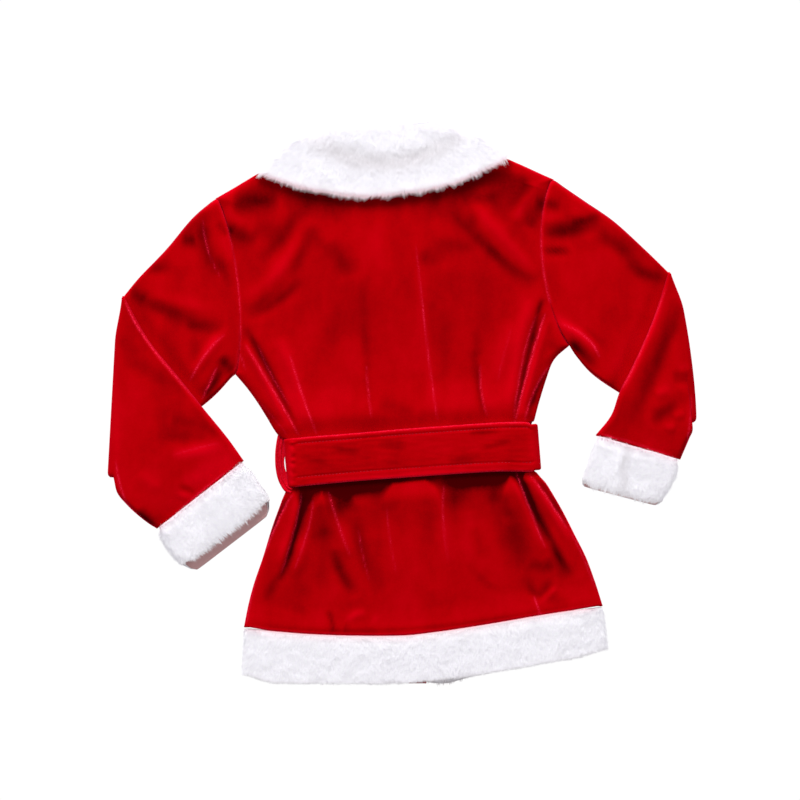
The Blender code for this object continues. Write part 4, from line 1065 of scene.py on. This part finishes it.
def addStitches(name, places, length, radius, material):  # places: x, y, z and turn of each stitch
    around = 6
    angle = np.arange(around) * 2.0 * math.pi / around
    points = []
    for x, y, z, turn in places:
        c, s = math.cos(turn), math.sin(turn)
        for t, size in zip((-0.5, -0.3, 0.3, 0.5), (0.35, 1.0, 1.0, 0.35)):
            for a in angle:
                u, v = t * length, radius * size * math.cos(a)
                points.append((x + u * c - v * s, y + u * s + v * c, z + radius * size * math.sin(a)))
    rod = rodFaces(4, around)
    faces = [[base + i for i in face] for base in range(0, len(points), 4 * around) for face in rod]
    return faceOutwards(addMesh(name, points, faces, material))


def beltStitches():
    top, bottom = (np.array(line, float) for line in edgesOf(beltCut["back"]))
    reach = (bottom - top) / np.hypot(*(bottom - top).T)[:, None]
    places = []
    for line in (top + reach * beltCut["upperStitch"], bottom - reach * beltCut["lowerStitch"]):
        for x in np.arange(line[0, 0] + 4.0, line[-1, 0] - 1.5, beltCut["stitchStep"]):
            y = np.interp(x, *line.T)
            slope = np.interp(x + 1.0, *line.T) - y
            places.append((x, y, beltMiddleHeight + 1.15, math.atan(slope)))
    return places


stitches = finishPiece(addStitches("beltStitches", beltStitches(), 2.1, 0.28, thread), "belt_velvet")
print("belt made")


# ---- fur: a plain ground a little inside each solid, and the strands that stand on it

def meshArrays(piece):  # points, their normals, triangles and the triangles' slots
    mesh = piece.data
    mesh.calc_loop_triangles()

    def read(items, key, columns, kind=float):
        values = np.empty(len(items) * columns, kind)
        items.foreach_get(key, values)
        return values.reshape(-1, columns)

    points, triangles = mesh.vertices, mesh.loop_triangles
    return (read(points, "co", 3) / mm, read(points, "normal", 3), read(triangles, "vertices", 3, np.int32),
            read(triangles, "material_index", 1, np.int32)[:, 0])


def unit(vectors):
    return vectors / np.maximum(np.linalg.norm(vectors, axis=1), 1e-9)[:, None]


def nearLine(line, width, strength=1.0):  # full on the line, and none a width away from it
    return lambda x, y: strength * fall(toLine(x, y, line) / width)


furCut = {"inset": 2.6, "wall": 2.6}
furLook = {
    "length": 5.4,
    "lengths": (0.7, 1.15),  # the least and the greatest share of it
    "width": 0.32, "widths": (0.7, 1.2), "spread": 0.16, "tuftTurn": 0.12, "tuftLength": 0.28,
    "tuftLean": 0.06, "leanSpread": 0.10, "leans": (0.1, 1.5), "gather": 0.12, "fringeGather": 0.75,
    "fringeTufts": 4.0, "fringeTurn": 0.8, "fringeRise": 0.06, "rim": 1.0, "rimFade": 1.5, "rootDepth": 0.3,
    "floor": 0.05, "tuftShade": 0.12,
    "tuftShades": (0.5, 0.25, 0.2),  # painted shade between tufts: middle, spread of the tufts, spread of the strands
    "redReflectionReach": 1.5,
}


def growFur(name, ground, comb, look, seed):
    look = {**furLook, **look}
    count, tufts = look["count"], look["tufts"]
    rng = np.random.default_rng(seed)
    points, normals, faces, slots = meshArrays(ground)
    corners = points[faces]
    cross = np.cross(corners[:, 1] - corners[:, 0], corners[:, 2] - corners[:, 0])
    area = np.linalg.norm(cross, axis=1) / 2.0
    facing = cross[:, 2] / np.maximum(2.0 * area, 1e-9)
    weight = area * (slots == 0) * look["where"](corners.mean(axis=1), facing)
    chosen = rng.choice(len(faces), size=count, p=weight / weight.sum())
    a, b = rng.random(count), rng.random(count)
    over = a + b > 1.0
    a[over], b[over] = 1.0 - a[over], 1.0 - b[over]
    shares = np.stack([1.0 - a - b, a, b], axis=-1)[..., None]
    root = (points[faces[chosen]] * shares).sum(axis=1)
    up = unit((normals[faces[chosen]] * shares).sum(axis=1))
    flow, lean, longer = comb(root, up)
    edge = look["fringe"](root[:, 0], root[:, 1])  # 1 on an open edge, where tufts are longer and thinner
    edge *= np.clip(look["rim"] + look["rimFade"] * up[:, 2], 0.0, 1.0)
    # each strand leans to the middle of the tuft that it grows in
    finer = 1.0 + look["fringeTufts"] * edge
    centres = root[rng.choice(count, size=tufts, replace=False, p=finer / finer.sum())]
    owner = nearestOf(root, centres)
    pull = centres[owner] - root
    turn = rng.normal(0.0, look["spread"], count) * (1.0 - look["fringeTurn"] * edge)
    turn += rng.normal(0.0, look["tuftTurn"], tufts)[owner]
    flow = unit(flow - up * (flow * up).sum(axis=1)[:, None])
    flow = flow * np.cos(turn)[:, None] + np.cross(up, flow) * np.sin(turn)[:, None]
    length = look["length"] * longer * rng.uniform(*look["lengths"], count)
    length *= 1.0 + edge * (look["longer"] + look["tuftLength"] * rng.normal(size=tufts)[owner])
    tuftLean = rng.normal(0.0, look["tuftLean"], tufts)[owner]
    lean = np.clip(lean + rng.normal(0.0, look["leanSpread"], count) + tuftLean, *look["leans"])
    outward = unit((up + flow) * (1.0, 1.0, 0.0) + (0.0, 0.0, look["fringeRise"]))
    aim = up * np.cos(lean)[:, None] + flow * np.sin(lean)[:, None]
    aim = unit(aim * (1.0 - edge)[:, None] + outward * edge[:, None])
    tip = root + aim * length[:, None] + (look["gather"] + look["fringeGather"] * edge)[:, None] * pull
    wide = np.cross(up, flow) * (look["width"] * rng.uniform(*look["widths"], count))[:, None]
    low = root - look["rootDepth"] * up
    made = np.stack([low - wide / 2, low + wide / 2, tip], axis=1)
    made[..., 2] = np.maximum(made[..., 2], look["floor"])
    mesh = bpy.data.meshes.new(name)
    mesh.vertices.add(3 * count)
    mesh.vertices.foreach_set("co", (made * mm).astype(np.float32).ravel())
    mesh.loops.add(3 * count)
    mesh.loops.foreach_set("vertex_index", np.arange(3 * count, dtype=np.int32))
    mesh.polygons.add(count)
    mesh.polygons.foreach_set("loop_start", np.arange(0, 3 * count, 3, dtype=np.int32))
    mesh.update(calc_edges=True)
    even, ofTufts, ofStrands = look["tuftShades"]
    # painted shade: random from tuft to tuft for the shadows between them, plus each piece's own painted
    # shade
    shade = even + ofTufts * rng.normal(size=tufts)[owner] + ofStrands * rng.normal(size=count)
    shade = np.clip(np.clip(shade, 0.0, 1.0) * look["tuftShade"] + look["dim"](*root.T), 0.0, 1.0)
    toSeam = toLine(made[..., 0], made[..., 1], look["seam"])
    setMarks(mesh, {
        "along": np.tile((0.0, 0.0, 1.0), count), "shade": np.repeat(shade, 3),
        "lit": look["lit"](*np.moveaxis(made, -1, 0)),
        "blush": look["blush"] * np.exp(-toSeam / look["redReflectionReach"])})
    mesh.materials.append(furStrands)
    return finishPiece(newObject(name, mesh), "fur")


def nearestOf(places, centres):
    tree = KDTree(len(centres))
    for i, centre in enumerate(centres):
        tree.insert(centre, i)
    tree.balance()
    return np.array([tree.find(place)[1] for place in places])


def openWhere(middle, facing):  # strands stand on what faces up or out, and fewer on what is hidden
    return np.where(facing > -0.25, 1.0, 0.0) * np.where(middle[:, 2] > 7.0, 1.0, 0.12)


def swirl(root, scale, seed, size):
    return size * wander(root[:, 0], root[:, 1], scale, seed)


def level(turn):  # the way that points there
    return np.stack([np.cos(turn), np.sin(turn), 0.0 * turn], axis=-1)


rollLine = [(-130, 210), (-112, 229), (-94, 240), *collarTop, (72, 242), (98, 224)]


def rollLight(x, y, z):  # painted light: on the roll and at the lower edge the strands glow, for the light that they let through
    roll = nearLine(collarTop, 14.0)(x, y) * (0.08 + 0.4 * fall((z - 2.0) / 9.0))
    return roll + nearLine(rollLine, 5.0, 0.2)(x, y) + nearLine(collarBottom, 7.0, 0.07)(x, y)


collarLook = {
    "count": 175000, "tufts": 5000, "length": 6.0, "longer": 0.4, "blush": 0.4, "where": openWhere,
    "seam": [(x, y - 3.5) for x, y in collarBottom],
    # painted shade in the dip of the collar
    "dim": lambda x, y, z: 0.30 * folds(x, y, ((-95, 250, -16, 219, 62, 252, 9, 1),)),
    "fringe": nearLine(collarBottom, 8.0),
    "lit": rollLight,
    "folds": ((-78, 242, -16, 219, 46, 242, 8, -2),),
}


def collarForm(x, y, fromA, fromB, reach):
    return reach + folds(x, y, collarLook["folds"]) + 0.35 * wander(x, y, 14.0, 31.0)


def addFurBand(name, cuts, form, node, marks, sewnIn=0.0, **options):
    runs = [[sewnRow(row, sewnIn) for row in run] for run in runsOf(cuts)]
    ground = addBand(name, runs, (6.0, 2.2, 6.0), (None, form, None), furGround, marks, 8,
                     inset=furCut["inset"], shares=spread(30, 0.3), **options)
    return finishPiece(ground, "fur", node)


def sewnRow(row, reach):  # end a goes on towards the seam
    ax, ay, bx, by, *rest = row
    width = math.hypot(bx - ax, by - ay)
    return (ax - (bx - ax) * reach / width, ay - (by - ay) * reach / width, bx, by, *rest)


def collarMarks(x, y):
    # painted light on the ground along the roll
    return {"lit": nearLine(rollLine, 9.0, 0.3)(x, y)}


collar = addFurBand("collarGround", collarCut, collarForm, "collar", collarMarks,
                    rounding=cut["armHalf"] + 3.7, pinch=(0.15, 0.6))


def collarComb(root, up):  # from the rolled neck edge down to the lower edge
    away = root[:, :2] - (-14.0, 330.0)
    flow = level(np.arctan2(*away.T[::-1]) + swirl(root, 16.0, 33.0, 0.9))
    return flow, 1.05 + swirl(root, 11.0, 34.0, 0.2), np.ones(len(root))


collarFur = growFur("collarFur", collar, collarComb, collarLook, 5)
print("collar made")

hemLook = {
    "count": 180000, "tufts": 7000, "tuftShade": 0.1, "longer": 0.2, "seam": hemLine, "blush": 0.6,
    "fringe": nearLine(hemBottom, 5.0, 0.7),
    "lit": lambda x, y, z: 0.0 * x,
    # painted shade along the lower edge, deeper where the strands grow low
    "dim": lambda x, y, z: nearLine(hemBottom, 8.0)(x, y) * np.where(z < 6.0, 0.9, 0.3),
    "where": lambda middle, facing: openWhere(middle, facing) * (middle[:, 1] < hemSeam(middle[:, 0]) - 0.5),
}


def hemForm(x, y, fromA, fromB, reach):
    return reach + 0.4 * wander(x, y, 16.0, 41.0) + 0.25 * wander(x, y, 7.0, 42.0)


def seamRedReflection(line, strength):  # painted red reflection of the velvet on the ground beside the seam
    return lambda x, y: {"blush": strength * np.exp(-toLine(x, y, line) / 1.3)}


hem = addFurBand("hemGround", hemCut, hemForm, "hem_band", seamRedReflection(hemLine, 0.7), 3.6, rounding=4.0)


def hemComb(root, up):
    x, y = root[:, 0], root[:, 1]
    turn = -math.pi / 2.0 + swirl(root, 22.0, 43.0, 0.8) + swirl(root, 8.0, 44.0, 0.5)
    lean = 1.15 + swirl(root, 12.0, 45.0, 0.2) + 0.3 * fall((hemSeam(x) - y) / 5.0)
    return level(turn), lean, 1.0 - nearLine(hemBottom, 7.0, 0.5)(x, y)


hemFur = growFur("hemFur", hem, hemComb, hemLook, 6)
print("hem made")

cuffCut = {
    "left": {
        "rows": sections(
            cuffHalf, cuffHalf, (-142.7, -51.5, -220.7, -112.6, 6.6, 6.6), (-134, -60, -219.5, -122),
            (-126, -72, -212, -134), (-118, -84, -202, -145.5), (-118, -96, -191, -152, 6.9, 6.9)),
        "upperEnd": 12.0,  # how far the upper layer stops short of the lower one
        "paintedHollowShade": nearLine(((-219, -127), (-212, -137), (-202, -147)), 3.0, 0.8),
        "seeds": (61.0, 7),
    },
    "right": {
        "rows": sections(
            cuffHalf, cuffHalf, (173, -28.6, 248.8, -50.6, 6.6, 6.6), (168, -41, 248, -62),
            (164, -52, 243, -72), (160, -64, 237, -84), (157.5, -71.5, 233, -91.5, 6.9, 6.9)),
        "upperEnd": 5.0,
        "paintedHollowShade": nearLine(((203, -33), (200, -52), (198, -70)), 9.0, 0.14),
        "seeds": (71.0, 8),
    },
}
cuffShape = {
    "sewnOver": 0.35,  # share of the first row that goes over the sleeve's end
    "cornerWidth": 1.6,
    "opening": (0.4, 0.4),  # where the open end begins, as a share of the length, and over what share
    "push": 0.6,
    "flare": 0.03,
    "cornerRounding": 1.2,
}


def endsOf(row):
    return row[:2], row[2:4]


def cuffLook(rows, upperEnd, paintedHollowShade):  # the line that it is sewn on, and the painted shade at its open end
    start, end = endsOf(rows[0]), endsOf(rows[-1])

    def fromEnd(x, y):
        return toLine(x, y, end) - upperEnd

    def where(middle, facing):  # none on the lower layer, nor past the end of the upper one
        x, y, z = middle.T
        onTop = (facing > -0.25) & (z > 5.5) & (fromEnd(x, y) > -0.5)
        return 1.0 * (onTop & (toLine(x, y, start) > 0.3))

    return {
        "count": 95000, "tufts": 2500, "blush": 0.15, "rim": -0.5, "longer": 0.3, "where": where,
        "seam": start,
        # painted light near the seam
        "lit": lambda x, y, z: nearLine(start, 5.0, 0.12)(x, y),
        # painted shade near the open end and in the hollow
        "dim": lambda x, y, z: 0.3 * fall(fromEnd(x, y) / 4.0) + paintedHollowShade(x, y),
        "fringe": lambda x, y: fall(fromEnd(x, y) / 8.0),
    }


def cuffForm(x, y, fromA, fromB, reach):
    return reach + 0.35 * wander(x, y, 14.0, 51.0)


def addCuff(name, rows, upperEnd, node):
    rings, _ = runsToRings((rows,), (2.4,), 2, (cuffForm,), shares=spread(26, 0.3), rounding=cuffHalf,
                           inset=furCut["inset"])
    rings[0] += (rings[0].mean(axis=0) - rings[1].mean(axis=0)) * cuffShape["sewnOver"]
    count, around = rings.shape[:2]
    side = (around + 2) // 2
    number = np.arange(around)
    under = np.where(number < side, 0, np.minimum(number - side + 1, around - number))
    short = upperEnd * fall(under / cuffShape["cornerWidth"])
    begin, over = cuffShape["opening"]
    ends = ramp((np.arange(count) / (count - 1.0) - begin) / over)[:, None] * (under > 0)[None, :]
    heading = rings[-1].mean(axis=0) - rings[-2].mean(axis=0)
    heading *= furCut["inset"] * cuffShape["push"] / np.linalg.norm(heading)
    rings += ends[..., None] * heading
    outward = rings - rings.mean(axis=1)[:, None]
    outward[..., 2] = 0.0
    rings += ends[..., None] * outward * cuffShape["flare"]
    across = np.linalg.norm(outward, axis=-1)
    across /= across.max(axis=1)[:, None]
    rounded = cuffShape["cornerRounding"] * across**10 * ends**6
    rings -= rounded[..., None] * heading / np.linalg.norm(heading)
    lengths = np.linalg.norm(rings[-1] - rings[0], axis=1)
    steps = np.arange(count)
    for c in np.nonzero(short > 0)[0]:
        wanted = steps * (1.0 - short[c] / lengths[c])
        for axis in range(3):
            rings[:, c, axis] = np.interp(wanted, steps, rings[:, c, axis])
    marks = seamRedReflection(endsOf(rows[0]), 0.5)(rings[..., 0], rings[..., 1])
    return addTube(name, rings, (furGround, paintedShadeBacking), marks, furCut["wall"], "fur", node)


def cuffComb(rows, upperEnd, seed):
    start, end = (np.array(endsOf(row)).mean(axis=0) for row in (rows[0], rows[-1]))
    heading = math.atan2(*(end - start)[::-1])
    back = upperEnd * (start - end) / np.hypot(*(start - end))
    corners = [np.array(corner) + back for corner in endsOf(rows[-1])]

    def comb(root, up):
        x, y = root[:, 0], root[:, 1]
        turn = heading + swirl(root, 20.0, seed, 0.7) + swirl(root, 8.0, seed + 1.0, 0.4)
        lean = 1.1 + swirl(root, 12.0, seed + 2.0, 0.2) + nearLine(endsOf(rows[0]), 5.0, 0.35)(x, y)
        toCorner = np.minimum(*(np.hypot(x - cornerX, y - cornerY) for cornerX, cornerY in corners))
        return level(turn), lean, 1.0 - 0.45 * fall((toCorner - 4.0) / 9.0)

    return comb


def makeCuff(side, name):
    rows, upperEnd, paintedHollowShade, (combSeed, furSeed) = cuffCut[side].values()
    ground = addCuff(name + "Ground", rows, upperEnd, "cuff_" + side)
    comb = cuffComb(rows, upperEnd, combSeed)
    return ground, growFur(name + "Fur", ground, comb, cuffLook(rows, upperEnd, paintedHollowShade), furSeed)


cuffLeft, cuffLeftFur = makeCuff("left", "cuffLeft")
cuffRight, cuffRightFur = makeCuff("right", "cuffRight")
print("cuffs made")


# ---- camera, floor and light

world = bpy.data.worlds.new("studio")
bpy.context.scene.world = world
world.use_nodes = True
backdrop = world.node_tree.nodes["Background"]
feed(world.node_tree, backdrop.inputs, {"Color": (1.0, 1.0, 1.0), "Strength": 0.42})

bpy.ops.mesh.primitive_plane_add(size=6.0, location=(0.0, 0.0, -0.0005))
floor = bpy.context.active_object
floor.name = "floor"
paper, paperTree, paperShader = startMaterial("paper")
feed(paperTree, paperShader.inputs, {"Base Color": (0.0, 0.0, 0.0), "Emission Color": (1.0, 1.0, 1.0),
                                     "Emission Strength": 1.02, "Specular IOR Level": 0.0})
floor.data.materials.append(paper)


def addLight(name, place, size, power):
    data = bpy.data.lights.new(name, "AREA")
    data.shape, data.size, data.energy = "DISK", size, power
    light = newObject(name, data)
    light.location = place
    light.rotation_euler = (-Vector(place)).to_track_quat("-Z", "Y").to_euler()


addLight("key", (-0.35, 2.0, 1.35), 0.9, 54.0)
addLight("top", (0.2, 0.3, 2.6), 1.2, 8.0)

cameraData = bpy.data.cameras.new("camera")
cameraData.lens, cameraData.sensor_width, cameraData.clip_end = 200.0, 36.0, 20.0
camera = newObject("camera", cameraData)
camera.location = (-0.0027, 0.0036, 4.0)
bpy.context.scene.camera = camera
bpy.context.scene.view_settings.view_transform = "Standard"

for piece in (back, frontLeft, frontRight, placket, sleeveLeft, sleeveRight, belt, loop, stitches, collar,
              collarFur, hem, hemFur, cuffLeft, cuffLeftFur, cuffRight, cuffRightFur):
    print(piece.name, sum(len(p.vertices) - 2 for p in piece.data.polygons), "triangles,",
          round(sum(p.area for p in piece.data.polygons) / 2.0, 4), "m2")
